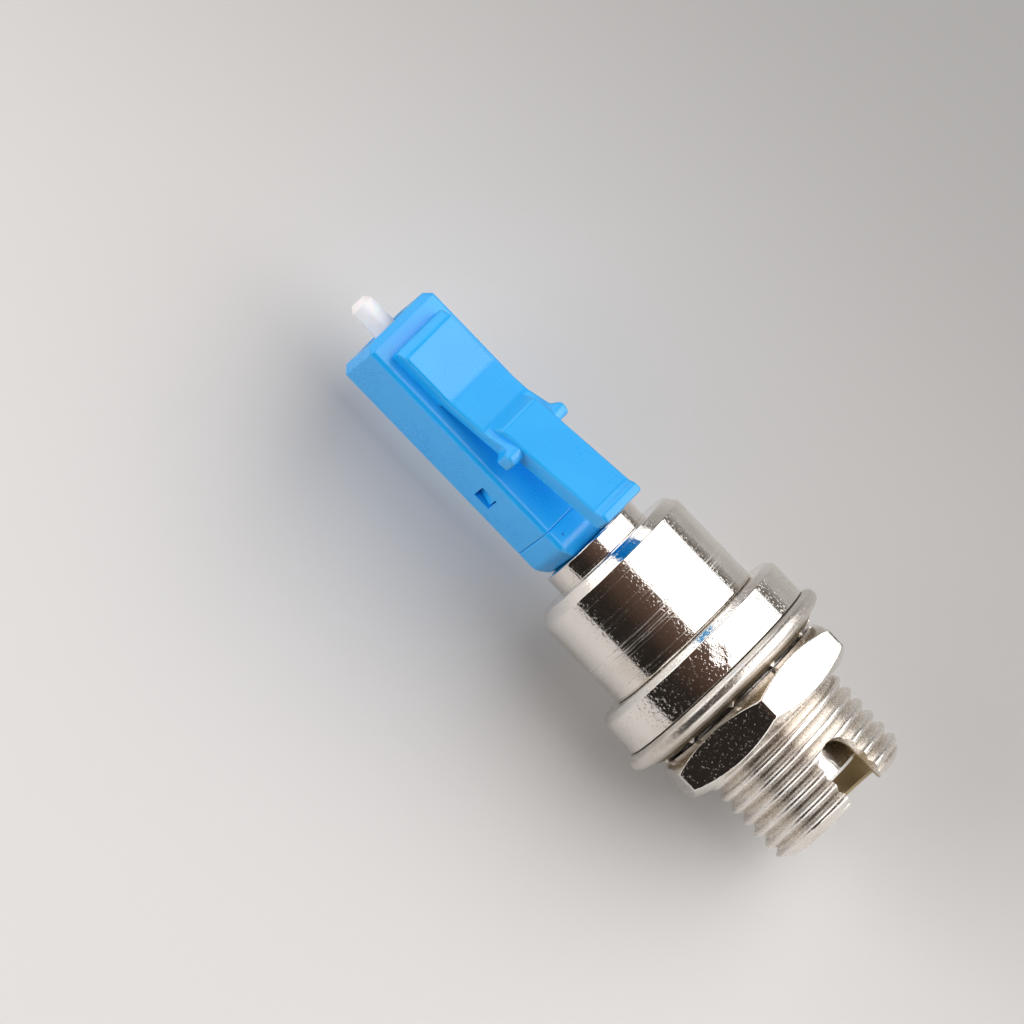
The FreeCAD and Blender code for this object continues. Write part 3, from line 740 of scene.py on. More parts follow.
# %% Ceramic and glass finishes
CERAMIC_WHITE = (0.98, 0.98, 0.98)
CERAMIC_CLOUD = (0.93, 0.93, 0.92)
CERAMIC_CLOUDS_PER_MM = 1.1
CERAMIC_RANGE = (0.35, 0.7)
CERAMIC_HAZE = 0.1
POLISH_PER_MM = 12.0
POLISH_HAZE = 0.12
POLISH_DEPTH = 1e-6
POLISH_STRENGTH = 0.2
GLASS_TINT = (0.82, 0.9, 0.95)
GLASS_PALE = (0.95, 0.97, 1.0)
GLASS_CLOUDS_PER_MM = 2.0


def white_ceramic_finish(name):
    """Polished zirconia: white, faintly cloudy, and soft in its shade."""
    finish, tree, shader = new_finish(name)
    place = in_mm(tree)
    cloud = ramp(tree, noise(tree, place, CERAMIC_CLOUDS_PER_MM), *CERAMIC_RANGE)
    polish = noise(tree, place, POLISH_PER_MM)
    feed(
        shader,
        Base_Color=blend_colours(tree, cloud, CERAMIC_WHITE, CERAMIC_CLOUD),
        Roughness=polish * POLISH_HAZE + CERAMIC_HAZE,
        Normal=bump(tree, polish, POLISH_DEPTH, POLISH_STRENGTH),
        Subsurface_Weight=0.25,
        Subsurface_Scale=0.0003,
    )
    return finish


def glass_fibre_finish(name):
    """Bare glass, with a faint tint that changes along it."""
    finish, tree, shader = new_finish(name)
    tint = noise(tree, in_mm(tree), GLASS_CLOUDS_PER_MM)
    feed(
        shader,
        Base_Color=blend_colours(tree, tint, GLASS_TINT, GLASS_PALE),
        Roughness=0.05,
        Transmission_Weight=0.9,
        IOR=1.46,
    )
    return finish


white_ceramic = white_ceramic_finish("white_ceramic")
glass_fibre = glass_fibre_finish("glass_fibre")
print("ceramic and glass finishes: white, clear")

# %% [markdown]
# The stage has finishes too. The arch's glow runs through a colour ramp from one of its feet to the other.
# The floor is a pale, matt table whose colour darkens towards the far side, as painted shade.

# %% Finishes of the stage
PAPER_PER_MM = 0.02
PAPER_DETAIL = 4.0
PAPER_HAZE = 0.1
FLOOR_HAZE = 0.6
FLOOR_PALE = (0.72, 0.71, 0.7)
FLOOR_PALER = (0.76, 0.75, 0.74)
FLOOR_PAINTED_SHADE = (0.37, 0.365, 0.36)
FLOOR_PAINTED_SHADE_RANGE = (-20.0, 40.0)


def arch_finish(name):
    """A faint glow that follows the angle round the light path."""
    finish, tree, shader = new_finish(name)
    place = tree.node("ShaderNodeTexCoord", output="Object")
    across = tree.node("ShaderNodeSeparateXYZ", sockets={0: place}, output="Y")
    angle = tree.math("ARCTAN2", across, across.output("Z"))
    share = angle / (2 * ARCH_SPAN) + 0.5
    glow = tree.node("ShaderNodeValToRGB", {"stops": ARCH_TONES}, {"Fac": share})
    feed(shader, Emission_Color=glow, Emission_Strength=1.0, Base_Color=(0, 0, 0, 1), Specular_IOR_Level=0.0)
    finish.cycles.emission_sampling = "NONE"
    return finish


def pale_floor_finish(name):
    """A pale, matt table whose colour darkens towards the far side, as painted shade."""
    finish, tree, shader = new_finish(name)
    place = in_mm(tree)
    paper = noise(tree, place, PAPER_PER_MM, PAPER_DETAIL)
    far = tree.node("ShaderNodeSeparateXYZ", sockets={0: place}, output="Y")
    pale = blend_colours(tree, paper, FLOOR_PALE, FLOOR_PALER)
    # The floor's colour darkens towards the far side: painted shade.
    shade = ramp(tree, far, *FLOOR_PAINTED_SHADE_RANGE)
    feed(
        shader,
        Base_Color=blend_colours(tree, shade, pale, FLOOR_PAINTED_SHADE),
        Roughness=paper * PAPER_HAZE + FLOOR_HAZE,
    )
    return finish


arch.data.materials.append(arch_finish("arch_glow"))
floor.data.materials.append(pale_floor_finish("pale_floor"))
print("finishes of the stage: arch, floor")

# %% [markdown]
# A finished piece needs three facts: its material, the body that it moves with, and the solid that it stands
# for. One function says all three.

# %% Hand a finished piece over to the frame


def hand_over(piece, finish, slot, body, *nodes):
    """Give a piece its finish, let it ride on a body and stand for the solids it replaces."""
    piece.data.materials.clear()
    piece.data.materials.append(finish)
    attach(piece, body)
    if nodes:
        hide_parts(*nodes)
    print(piece.name, "rides on", body)


# %% [markdown]
# The rear barrel is one turned piece: a spigot inside the flange, the fat barrel with its chamfer, a
# neck, and a thin stem that goes into the plug. It could be a stack of cylinders, but then no edge would
# catch the light. Spinning one half section, as the lathe does, gives every edge its own small rounding.

# %% Rear barrel
BARREL_RADIUS = 4.325
BARREL_CHAMFER_LENGTH = 0.56
BARREL_CHAMFER_DEPTH = 0.45
BARREL_BACK_WALL = 0.75
NECK_RADIUS = 2.675
NECK_LENGTH = 1.02
STEM_RADIUS = 1.3
STEM_BORE = 0.45
SPIGOT_RADIUS = 3.28
CHAMBER_RADIUS = 2.6
SOFT_EDGE = 0.1
SEAT_EDGE = 0.16

neck_back = cap_back
barrel_back = neck_back + NECK_LENGTH
rear_barrel = turned("rear_barrel_turned", [
    (stem_end, STEM_BORE),
    (stem_end, STEM_RADIUS),
    (neck_back, STEM_RADIUS),
    (neck_back, NECK_RADIUS, SOFT_EDGE),
    (barrel_back, NECK_RADIUS),
    (barrel_back, BARREL_RADIUS - BARREL_CHAMFER_DEPTH, SOFT_EDGE),
    (barrel_back + BARREL_CHAMFER_LENGTH, BARREL_RADIUS, SOFT_EDGE),
    (flange_back, BARREL_RADIUS, SEAT_EDGE),
    (flange_back, SPIGOT_RADIUS),
    (spigot_end, SPIGOT_RADIUS),
    (spigot_end, CHAMBER_RADIUS),
    (barrel_back + BARREL_BACK_WALL, CHAMBER_RADIUS),
    (barrel_back + BARREL_BACK_WALL, STEM_BORE),
])
hand_over(rear_barrel, turned_nickel, "nickel_body", "adapter", "rear_barrel")

# %% [markdown]
# What follows a rule is made by a tree of Geometry Nodes. Its sizes and counts are named inputs, so one
# number changes the whole piece. The tree ends by making real what it copied and giving it the material,
# and the result is kept as a plain mesh.

# %% Trees that make meshes


def new_tree(name, numbers, counts=()):
    """A geometry tree with a geometry in and out, named lengths, named counts and a material."""
    tree = bpy.data.node_groups.new(name, "GeometryNodeTree")
    tree.interface.new_socket("Geometry", in_out="OUTPUT", socket_type="NodeSocketGeometry")
    inputs = {"Geometry": ["Geometry"], "Float": numbers, "Int": counts, "Material": ["Material"]}
    for kind, titles in inputs.items():
        for title in titles:
            tree.interface.new_socket(title, in_out="INPUT", socket_type="NodeSocket" + kind)
    start = Signal(tree)
    return start, start.node("NodeGroupInput")


def end_tree(start, given, geometry):
    """Realize what was made, give it the material and hand it out."""
    real = start.node("GeometryNodeRealizeInstances", sockets={"Geometry": geometry})
    sockets = {"Geometry": real, "Material": given.output("Material")}
    dressed = start.node("GeometryNodeSetMaterial", sockets=sockets)
    end = start.tree.nodes.new("NodeGroupOutput")
    start.tree.links.new(dressed.socket, end.inputs["Geometry"])


def grown(name, tree, values):
    """A piece that a geometry tree makes, as a plain mesh."""
    piece = new_piece(name, bpy.data.meshes.new(name))
    grow = piece.modifiers.new(name, "NODES")
    grow.node_group = tree
    for socket in tree.interface.items_tree:
        if socket.in_out == "INPUT" and socket.name in values:
            grow[socket.identifier] = values[socket.name]
    baked(piece)
    return piece


print("helpers for trees ready")

# %% [markdown]
# The thread is such a piece. A flat grid is rolled into a tube, each column a little further along than
# the last, so that after one turn every row meets the row one pitch ahead of it: a true helix with no
# seam. A wave of the place along the helix lifts the crests: round on top, a sharp V between. The end
# chamfer and the plain relief beside the flange are just smaller radii, and the smallest one wins. A
# stack of rings would be easier, but it would be no thread, and a nut couldn't climb it.

# %% Thread
THREAD_RADIUS = 4.0
THREAD_PITCH = 0.75
THREAD_DEPTH = 0.4
THREAD_ROWS = 16
RELIEF_LENGTH = 1.5
THREAD_CHAMFER_LENGTH = 0.5
THREAD_CHAMFER_DEPTH = 0.65
THREAD_NUMBERS = {
    "Pitch": THREAD_PITCH * MM,
    "Crest radius": THREAD_RADIUS * MM,
    "Depth": THREAD_DEPTH * MM,
    "Length": thread_end * MM,
    "Relief": RELIEF_LENGTH * MM,
    "Chamfer length": THREAD_CHAMFER_LENGTH * MM,
    "Chamfer depth": THREAD_CHAMFER_DEPTH * MM,
}


def thread_tree():
    """A helical skin from the flange to the end of the thread."""
    start, given = new_tree("thread", THREAD_NUMBERS, ("Steps round", "Rows", "Turns"))
    pitch = given.output("Pitch")
    crest = given.output("Crest radius")
    depth = given.output("Depth")
    length = given.output("Length")
    turns = given.output("Turns")
    sockets = {
        "Size X": 1.0,
        "Size Y": 1.0,
        "Vertices X": given.output("Steps round") + 1,
        "Vertices Y": turns * given.output("Rows") + 1,
    }
    grid = start.node("GeometryNodeMeshGrid", sockets=sockets)
    on_grid = start.node("ShaderNodeSeparateXYZ", sockets={0: start.node("GeometryNodeInputPosition")})
    turn = on_grid + 0.5
    row = on_grid.output("Y") + 0.5
    free = pitch * (row * turns + turn - 1)
    x = start.math("MINIMUM", start.math("MAXIMUM", free, 0.0), length)
    phase = start.math("FRACT", x / pitch - turn)
    off_crest = start.math("ABSOLUTE", phase - 0.5)
    wave = start.math("COSINE", off_crest * math.pi)
    thread = crest - depth + depth * wave
    past_chamfer = start.math("MAXIMUM", x - length + given.output("Chamfer length"), 0.0)
    cone = crest - past_chamfer * given.output("Chamfer depth") / given.output("Chamfer length")
    relief = crest - depth + start.math("MAXIMUM", x - given.output("Relief"), 0.0)
    radius = start.math("MINIMUM", start.math("MINIMUM", thread, cone), relief)
    angle = turn * math.tau
    y = radius * start.math("COSINE", angle)
    z = radius * start.math("SINE", angle)
    place = start.node("ShaderNodeCombineXYZ", sockets={"X": x, "Y": y, "Z": z})
    rolled = start.node("GeometryNodeSetPosition", sockets={"Geometry": grid, "Position": place})
    welded = start.node("GeometryNodeMergeByDistance", sockets={"Geometry": rolled, "Distance": WELD})
    end_tree(start, given, welded)
    return start.tree


thread_values = {
    **THREAD_NUMBERS,
    "Steps round": TURN_STEPS,
    "Rows": THREAD_ROWS,
    "Turns": math.ceil(thread_end / THREAD_PITCH) + 1,
    "Material": socket_nickel,
}
thread = grown("thread", thread_tree(), thread_values)
print("thread skin:", len(thread.data.polygons), "faces")

# %% [markdown]
# The rest of the socket is lathe work again: flange, stepped bore and end face, as an open skin that
# starts where the thread ends and ends where the thread starts. Welded together, the two skins are one
# closed solid. Then the keyway is milled through the upper wall, with the round end that an end mill
# leaves. A Boolean modifier does the milling, because a slot through a thread has no outline that could
# be drawn by hand.

# %% Threaded socket
FLANGE_RADIUS = 5.5
FLANGE_CHAMFER = 0.32
SOCKET_RADIUS = 3.025
SOCKET_FLOOR = 1.7
SOCKET_CHAMFER = 0.15
PASSAGE_RADIUS = 2.22
HOLDER_SEAT = 0.4
COUNTERBORE = 3.3
KEYWAY_HALF = 1.075
KEYWAY_LENGTH = 3.0
MILL_STEPS = 24


def joined(name, *pieces):
    """Several meshes as one welded piece."""
    shape = bmesh.new()
    for piece in pieces:
        shape.from_mesh(piece.data)
        bpy.data.objects.remove(piece)
    mesh = bpy.data.meshes.new(name)
    shape.to_mesh(mesh)
    shape.free()
    return checked(new_piece(name, mesh))


def socket_section():
    """The socket's section without its thread, from the end chamfer to the flange face."""
    chamfer_end = (thread_end, THREAD_RADIUS - THREAD_CHAMFER_DEPTH)
    thread_foot = (0.0, THREAD_RADIUS - THREAD_DEPTH)
    points = soften([
        (*thread_foot, 0.0),
        (*chamfer_end, 0.0),
        (thread_end, SOCKET_RADIUS + SOCKET_CHAMFER),
        (thread_end - SOCKET_CHAMFER, SOCKET_RADIUS),
        (SOCKET_FLOOR, SOCKET_RADIUS),
        (SOCKET_FLOOR, PASSAGE_RADIUS),
        (HOLDER_SEAT, PASSAGE_RADIUS),
        (HOLDER_SEAT, COUNTERBORE),
        (flange_back, COUNTERBORE),
        (flange_back, FLANGE_RADIUS - FLANGE_CHAMFER, SOFT_EDGE),
        (flange_back + FLANGE_CHAMFER, FLANGE_RADIUS, SOFT_EDGE),
        (0.0, FLANGE_RADIUS),
    ])
    return [Vector(chamfer_end), *points[2 * CORNER_POINTS:], Vector(thread_foot)]


section = socket_section()
rest_of_socket = spun("rest_of_socket", lambda angle: section, closed=False)
threaded_socket = joined("threaded_socket", thread, rest_of_socket)

mill_centre = thread_end - KEYWAY_LENGTH + KEYWAY_HALF
mill_start = thread_end + TOOL_REACH
mill_path = [(mill_start, -KEYWAY_HALF), (mill_start, KEYWAY_HALF)]
for step in range(MILL_STEPS + 1):
    angle = math.pi / 2 + math.pi * step / MILL_STEPS
    mill_path.append((mill_centre + KEYWAY_HALF * math.cos(angle), KEYWAY_HALF * math.sin(angle)))
carve(threaded_socket, prism("mill", mill_path, 0.0, THREAD_RADIUS + TOOL_REACH))
hand_over(checked(threaded_socket), socket_nickel, "nickel_body", "adapter", "receptacle_body")

# %% [markdown]
# The panel nut starts as a turned blank with both faces chamfered, and then six flats are cut on it.
# Where a flat meets the chamfer cone, the edge is a curve that rises to each corner. That curve comes out
# by itself when the section is worked out angle by angle: the blank's radius is the distance to the
# nearest flat, and the cone starts where the flat ends. A smooth minimum takes the knife edge off the six
# corners.

# %% Panel nut
NUT_HALF = 4.9
NUT_HOLE = 4.04
NUT_BORE_CHAMFER = 0.25
NUT_FACE_INSET = 0.25
NUT_CHAMFER_SLOPE = math.tan(math.radians(30))
NUT_CORNER_AT = math.radians(105.6)
NUT_CORNER_SOFTNESS = 0.14
NUT_EDGE = 0.12
HEX_STEP = math.radians(60)


def nut_radius(angle):
    """How far out the nut reaches at an angle, with its corners softened."""
    from_corner = (angle - NUT_CORNER_AT) % HEX_STEP
    flat = NUT_HALF / math.cos(from_corner - HEX_STEP / 2)
    next_flat = NUT_HALF / math.cos(min(from_corner, HEX_STEP - from_corner) + HEX_STEP / 2)
    overlap = max(NUT_CORNER_SOFTNESS - abs(flat - next_flat), 0.0)
    return min(flat, next_flat) - overlap ** 2 / NUT_CORNER_SOFTNESS / 4


def nut_section(angle):
    """The nut's section at an angle."""
    side = nut_radius(angle)
    face = NUT_HALF - NUT_FACE_INSET
    fall = (side - face) * NUT_CHAMFER_SLOPE
    return soften([
        (nut_back + NUT_BORE_CHAMFER, NUT_HOLE),
        (nut_back, NUT_HOLE + NUT_BORE_CHAMFER),
        (nut_back, face),
        (nut_back + fall, side, NUT_EDGE),
        (nut_front - fall, side, NUT_EDGE),
        (nut_front, face),
        (nut_front, NUT_HOLE + NUT_BORE_CHAMFER),
        (nut_front - NUT_BORE_CHAMFER, NUT_HOLE),
    ])


panel_nut = checked(spun("panel_nut_cut", nut_section))
hand_over(panel_nut, nut_nickel, "nickel_nut", "nut", "panel_nut")

# %% [markdown]
# The lock washer is pressed from spring steel. Its ring has a rolled rim, and a cone leads inwards from
# it to the teeth. A press leaves rounder edges than a lathe, so the rim gets a larger rounding.

# %% Ring of the lock washer
WASHER_RADIUS = 5.925
WASHER_RING_WIDTH = 1.1
WASHER_THICKNESS = 0.85
RIM_LENGTH = 0.22
RIM_DEPTH = 0.3
RIM_ROUNDING = 0.3
CONE_FOOT = 0.5
CONE_REACH = 0.32
CONE_DROP = 0.65
CONE_WEB = 0.3
CONE_LIP = 0.15

cone_top = WASHER_RADIUS - CONE_FOOT - CONE_DROP
cone_tip = cone_top - CONE_WEB
ring_inside = WASHER_RADIUS - WASHER_RING_WIDTH
ring_front = washer_back + WASHER_THICKNESS
ring_middle = washer_back + WASHER_THICKNESS / 2
cone_front = ring_front + CONE_REACH
lock_washer = turned("lock_washer_pressed", [
    (washer_back, ring_inside),
    (washer_back, WASHER_RADIUS - RIM_DEPTH, RIM_ROUNDING),
    (washer_back + RIM_LENGTH, WASHER_RADIUS, RIM_ROUNDING),
    (ring_front - RIM_LENGTH, WASHER_RADIUS, RIM_ROUNDING),
    (ring_front, WASHER_RADIUS - RIM_DEPTH, RIM_ROUNDING),
    (ring_front, WASHER_RADIUS - CONE_FOOT),
    (cone_front, cone_top),
    (cone_front + CONE_LIP, cone_tip),
    (ring_middle, ring_inside),
])

# %% [markdown]
# Twisted teeth on the cone are there to bite into the nut. One tooth is modelled as a small bevelled
# blade. The tree then sets copies of it round the ring: points on one spot, each with its own turn about
# the light path. Changing the count changes the whole row, which is what a tree is good for.

# %% Teeth of the lock washer
TOOTH_WIDTH = 1.05
TOOTH_THICKNESS = 0.3
TOOTH_TWIST = math.radians(35)
TOOTH_LIFT = 0.52
TOOTH_BITE = 0.36
TOOTH_CLEARANCE = 0.12
TOOTH_COUNT = 11
TOOTH_EDGE = 0.06
TOOTH_EDGE_SEGMENTS = 3
WASHER_ANGLE = math.radians(-8.7)


def tooth_blade():
    """One tooth on the upward radius, twisted about it, with its edges bevelled."""
    half_width = TOOTH_WIDTH / 2
    half_thickness = TOOTH_THICKNESS / 2
    middle = ring_middle + TOOTH_LIFT
    outline = []
    for across, along in ((-1, -1), (1, -1), (1, 1), (-1, 1)):
        corner = Vector((along * half_thickness, across * half_width))
        corner.rotate(Matrix.Rotation(TOOTH_TWIST, 2))
        outline.append((middle + corner.x, corner.y))
    blade = prism("tooth", outline, THREAD_RADIUS + TOOTH_CLEARANCE, cone_tip + TOOTH_BITE)
    edge = blade.modifiers.new("edge", "BEVEL")
    edge.width = TOOTH_EDGE * MM
    edge.segments = TOOTH_EDGE_SEGMENTS
    baked(blade)
    return blade


def teeth_tree(blade):
    """Copies of a tooth, turned about the light path."""
    start, given = new_tree("teeth", ("First angle",), ("Count",))
    count = given.output("Count")
    points = start.node("GeometryNodeMeshLine", sockets={"Count": count, "Offset": (0, 0, 0)})
    turn = start.node("GeometryNodeInputIndex") * math.tau / count + given.output("First angle")
    tooth = start.node("GeometryNodeObjectInfo", sockets={"Object": blade}, output="Geometry")
    angles = start.node("ShaderNodeCombineXYZ", sockets={"X": turn})
    sockets = {"Points": points, "Instance": tooth, "Rotation": angles}
    end_tree(start, given, start.node("GeometryNodeInstanceOnPoints", sockets=sockets))
    return start.tree


blade = tooth_blade()
teeth_values = {"First angle": WASHER_ANGLE, "Count": TOOTH_COUNT, "Material": washer_steel}
teeth = grown("teeth", teeth_tree(blade), teeth_values)
bpy.data.objects.remove(blade)
carve(lock_washer, teeth, "UNION")
hand_over(checked(lock_washer), washer_steel, "washer_steel", "washer", "lock_washer")

# %% [markdown]
# The plug is a square moulding with rounded edges, and round inside. Loops of equal point counts let one
# skin change from square to round: a square loop walks along its sides and round its corners, and a round
# loop puts its points at the same angles.

# %% Square and round loops
PLUG_HALF = 2.225
PLUG_EDGE = 0.28
CORNER_STEPS = 6
SIDE_STEPS = 12
SQUARE = "square"
ROUND = "round"


def square_loop(half, edge):
    """A square with round corners, as points across and up."""
    points = []
    inner = half - edge
    for quarter in range(4):
        turn = Matrix.Rotation(quarter * math.pi / 2, 2)
        for step in range(CORNER_STEPS + 1):
            angle = math.pi / 2 * step / CORNER_STEPS
            points.append(turn @ Vector((inner + edge * math.cos(angle), inner + edge * math.sin(angle))))
        for step in range(1, SIDE_STEPS):
            share = 0.5 - 0.5 * math.cos(math.pi * step / SIDE_STEPS)
            points.append(turn @ Vector((inner - 2 * inner * share, half)))
    return points


LOOP_ANGLES = [math.atan2(point.y, point.x) for point in square_loop(PLUG_HALF, PLUG_EDGE)]


def loop_at(x, half, shape):
    """A square loop, or a round one at the same angles, at a place along the light path."""
    if shape == SQUARE:
        edge = max(PLUG_EDGE - abs(PLUG_HALF - half), EDGE_BREAK)
        return [(x, point.x, point.y) for point in square_loop(half, edge)]
    return [(x, half * math.cos(angle), half * math.sin(angle)) for angle in LOOP_ANGLES]


def moulded(name, corners):
    """A moulded skin: each corner a place along, a half width, square or round, and perhaps a rounding."""
    points = soften([(along, half, *rounding) for along, half, shape, *rounding in corners])
    loops = []
    for number, (x, half) in enumerate(points):
        loops.append(loop_at(x, half, corners[number // CORNER_POINTS][2]))
    return checked(skin(name, loops))


print("points in a loop:", len(LOOP_ANGLES))

# %% [markdown]
# The housing is one row of such loops: over the outside from the nose to the back, then in through the
# square cavity and the round bores to the nose again. The side windows are cut last, by one bar through
# both walls.

# %% Plug housing
NOSE_BEVEL = 0.34
NOSE_BORE = 1.5
NOSE_DEPTH = 2.4
NOSE_WALL = 0.7
WALL_HOLE = 0.705
SPRING_CHAMBER = 1.43
INSERT_HALF = 1.68
CAVITY_HALF = 1.71
INSERT_END_GAP = 0.6
WINDOW_BACK = 2.6
WINDOW_LENGTH = 0.95
WINDOW_HALF = 0.7
WINDOW_DROP = 0.12
MOULD_EDGE = 0.12
SEAM_EDGE = 0.09

nose_floor = plug_front + NOSE_DEPTH
collar_seat = nose_floor + NOSE_WALL
cavity_end = insert_end - INSERT_END_GAP
plug_housing = moulded("plug_housing_moulded", [
    (plug_front, PLUG_HALF - NOSE_BEVEL, SQUARE, MOULD_EDGE),
    (plug_front + NOSE_BEVEL, PLUG_HALF, SQUARE, MOULD_EDGE),
    (plug_back, PLUG_HALF, SQUARE, SEAM_EDGE),
    (plug_back, CAVITY_HALF, SQUARE),
    (cavity_end, CAVITY_HALF, SQUARE),
    (cavity_end, SPRING_CHAMBER, ROUND),
    (collar_seat, SPRING_CHAMBER, ROUND),
    (collar_seat, WALL_HOLE, ROUND),
    (nose_floor, WALL_HOLE, ROUND),
    (nose_floor, NOSE_BORE, ROUND),
    (plug_front, NOSE_BORE, ROUND, MOULD_EDGE),
])
window_end = plug_back - WINDOW_BACK
window_low = -WINDOW_HALF - WINDOW_DROP
window_high = WINDOW_HALF - WINDOW_DROP
window = rectangle((window_end - WINDOW_LENGTH, window_low), (window_end, window_high))
bar_half = PLUG_HALF + TOOL_REACH
carve(plug_housing, prism("window", window, -bar_half, bar_half, upright=False))
checked(plug_housing)

# %% [markdown]
# The rear cap closes the plug from behind. A square insert goes into the housing, and a small ramped lug
# on each side snaps into a window, where it shows as a step in the dark.

# %% Rear cap
CAP_BEVEL_LENGTH = 0.65
CAP_BEVEL_DEPTH = 0.45
CAP_ROUNDING = 0.8
STEM_HOLE = 1.33
SNAP_CLEARANCE = 0.08
SNAP_SINK = 0.15
SNAP_RAMP = 0.2

rear_cap = moulded("rear_cap_moulded", [
    (insert_end, INSERT_HALF, SQUARE),
    (plug_back, INSERT_HALF, SQUARE),
    (plug_back, PLUG_HALF, SQUARE, SEAM_EDGE),
    (cap_back - CAP_BEVEL_LENGTH, PLUG_HALF, SQUARE, CAP_ROUNDING),
    (cap_back, PLUG_HALF - CAP_BEVEL_DEPTH, SQUARE, CAP_ROUNDING),
    (cap_back, STEM_HOLE, ROUND),
    (insert_end, STEM_HOLE, ROUND),
])
lug_back = window_end - SNAP_CLEARANCE
lug_front = window_end - WINDOW_LENGTH + SNAP_CLEARANCE
lug_low = window_low + SNAP_CLEARANCE
lug_high = window_high - SNAP_CLEARANCE
for side in (-1, 1):
    lug_root = (INSERT_HALF - SNAP_RAMP) * side
    lug_top = (PLUG_HALF - SNAP_SINK) * side
    ramp_top = (PLUG_HALF - SNAP_SINK - SNAP_RAMP) * side
    lug = [(lug_front, lug_root), (lug_back, lug_root), (lug_back, lug_top), (lug_front, ramp_top)]
    carve(rear_cap, prism("snap_lug", lug, lug_low, lug_high), "UNION")
hand_over(checked(rear_cap), blue_plastic, "blue_plastic", "adapter", "rear_cap")

# %% [markdown]
# The latch is moulded in one with the housing and bends at its root. It is drawn as the mould maker draws
# it: side views pulled to a width. The sizes come first. From them follow the places along the light path
# and the heights over it, each one measured from the one before.

# %% Sizes of the latch
ROOT_START = 1.1
ROOT_WALL = 0.83
ROOT_RAMP = 0.5
ROOT_LENGTH = 3.3
ROOT_HALF = 1.6
ROOT_RISE = 1.17
ROOT_SINK = 0.28
LATCH_SLIT = 0.2
ARM_LENGTH = 2.15
ARM_CLIMB = 0.47
STEP_LENGTH = 0.5
STEP_CLIMB = 0.9
STEP_SINK = 0.4
TRIGGER_LENGTH = 5.67
TRIGGER_CLIMB = 1.31
TRIGGER_HALF = 1.22
TRIGGER_LIFT = 0.02
LIP_LENGTH = 0.78
LIP_RISE = 0.34
LIP_RAMP = 0.3
UNDER_CLIMB = 2.42
LUG_REAR = 4.25
LUG_LENGTH = 0.89
LUG_FLARE = 0.25
LUG_HALF = 1.97
LUG_TOP_DROP = 0.08
LUG_BEVEL_LENGTH = 0.4
LUG_BEVEL_DEPTH = 0.28

root_front = plug_front + ROOT_START
hinge_x = root_front + ROOT_LENGTH
hinge_z = PLUG_HALF + LATCH_SLIT
arm_end = hinge_x + ARM_LENGTH
step_end = arm_end + STEP_LENGTH
lip_start = step_end + TRIGGER_LENGTH
latch_end = lip_start + LIP_LENGTH
root_top = PLUG_HALF + ROOT_RISE
arm_top = root_top + ARM_CLIMB
step_top = arm_top + STEP_CLIMB
trigger_top = step_top + TRIGGER_CLIMB
lip_top = trigger_top + LIP_RISE
lug_end = hinge_x + LUG_REAR
lug_bevel = lug_end - LUG_BEVEL_LENGTH
lug_top = step_top + TRIGGER_CLIMB / TRIGGER_LENGTH * (lug_bevel - step_end) - LUG_TOP_DROP
print("latch from %.2f to %.2f mm" % (root_front, latch_end))

# %% [markdown]
# The wide arm flares into two lugs, which catch in the socket, and a narrower trigger runs back to a lip
# for the finger. Each of the two gets its round edges from a Bevel modifier before they are united,
# because a bevel along the corner where they meet would tear.

# %% Arm and trigger of the latch
ARM_EDGE = 0.15
TRIGGER_EDGE = 0.15
EDGE_SEGMENTS = 4
FLAT_ANGLE = math.radians(0.5)
EDGE_ANGLE = math.radians(12)


def under(x):
    """The height of the latch's underside."""
    return hinge_z + UNDER_CLIMB * (x - hinge_x) / (latch_end - hinge_x)


def round_edges(piece, width):
    """Merge a planar piece's flat faces and round its edges."""
    shape = bmesh.new()
    shape.from_mesh(piece.data)
    bmesh.ops.remove_doubles(shape, verts=shape.verts, dist=WELD)
    bmesh.ops.dissolve_limit(shape, angle_limit=FLAT_ANGLE, verts=shape.verts, edges=shape.edges)
    shape.to_mesh(piece.data)
    shape.free()
    edge = piece.modifiers.new("edge", "BEVEL")
    edge.width = width * MM
    edge.segments = EDGE_SEGMENTS
    edge.limit_method = "ANGLE"
    edge.angle_limit = EDGE_ANGLE
    baked(piece)


latch = prism("latch", [
    (root_front, PLUG_HALF - ROOT_SINK),
    (hinge_x, PLUG_HALF - ROOT_SINK),
    (hinge_x, hinge_z),
    (lug_end, under(lug_end)),
    (lug_end, lug_top - LUG_BEVEL_DEPTH),
    (lug_bevel, lug_top),
    (arm_end, arm_top),
    (hinge_x, root_top),
    (root_front + ROOT_RAMP, root_top),
    (root_front, PLUG_HALF + ROOT_WALL),
], -LUG_HALF, LUG_HALF, upright=False)
flare_start = lug_end - LUG_LENGTH
flare_end = flare_start + LUG_FLARE
beyond = LUG_HALF + TOOL_REACH
for side in (-1, 1):
    carve(latch, prism("waste", [
        (plug_front, ROOT_HALF * side),
        (flare_start, ROOT_HALF * side),
        (flare_end, LUG_HALF * side),
        (flare_end, beyond * side),
        (plug_front, beyond * side),
    ], 0.0, lip_top + TOOL_REACH))
round_edges(latch, ARM_EDGE)

step_foot = arm_end - STEP_LENGTH * STEP_SINK
trigger = prism("trigger", [
    (step_foot, under(step_foot) + TRIGGER_LIFT),
    (latch_end, under(latch_end) + TRIGGER_LIFT),
    (latch_end, lip_top),
    (lip_start + LIP_RAMP, lip_top),
    (lip_start, trigger_top),
    (step_end, step_top),
    (step_foot, arm_top - STEP_CLIMB * STEP_SINK),
], -TRIGGER_HALF, TRIGGER_HALF, upright=False)
round_edges(trigger, TRIGGER_EDGE)
carve(latch, trigger, "UNION")
checked(latch)
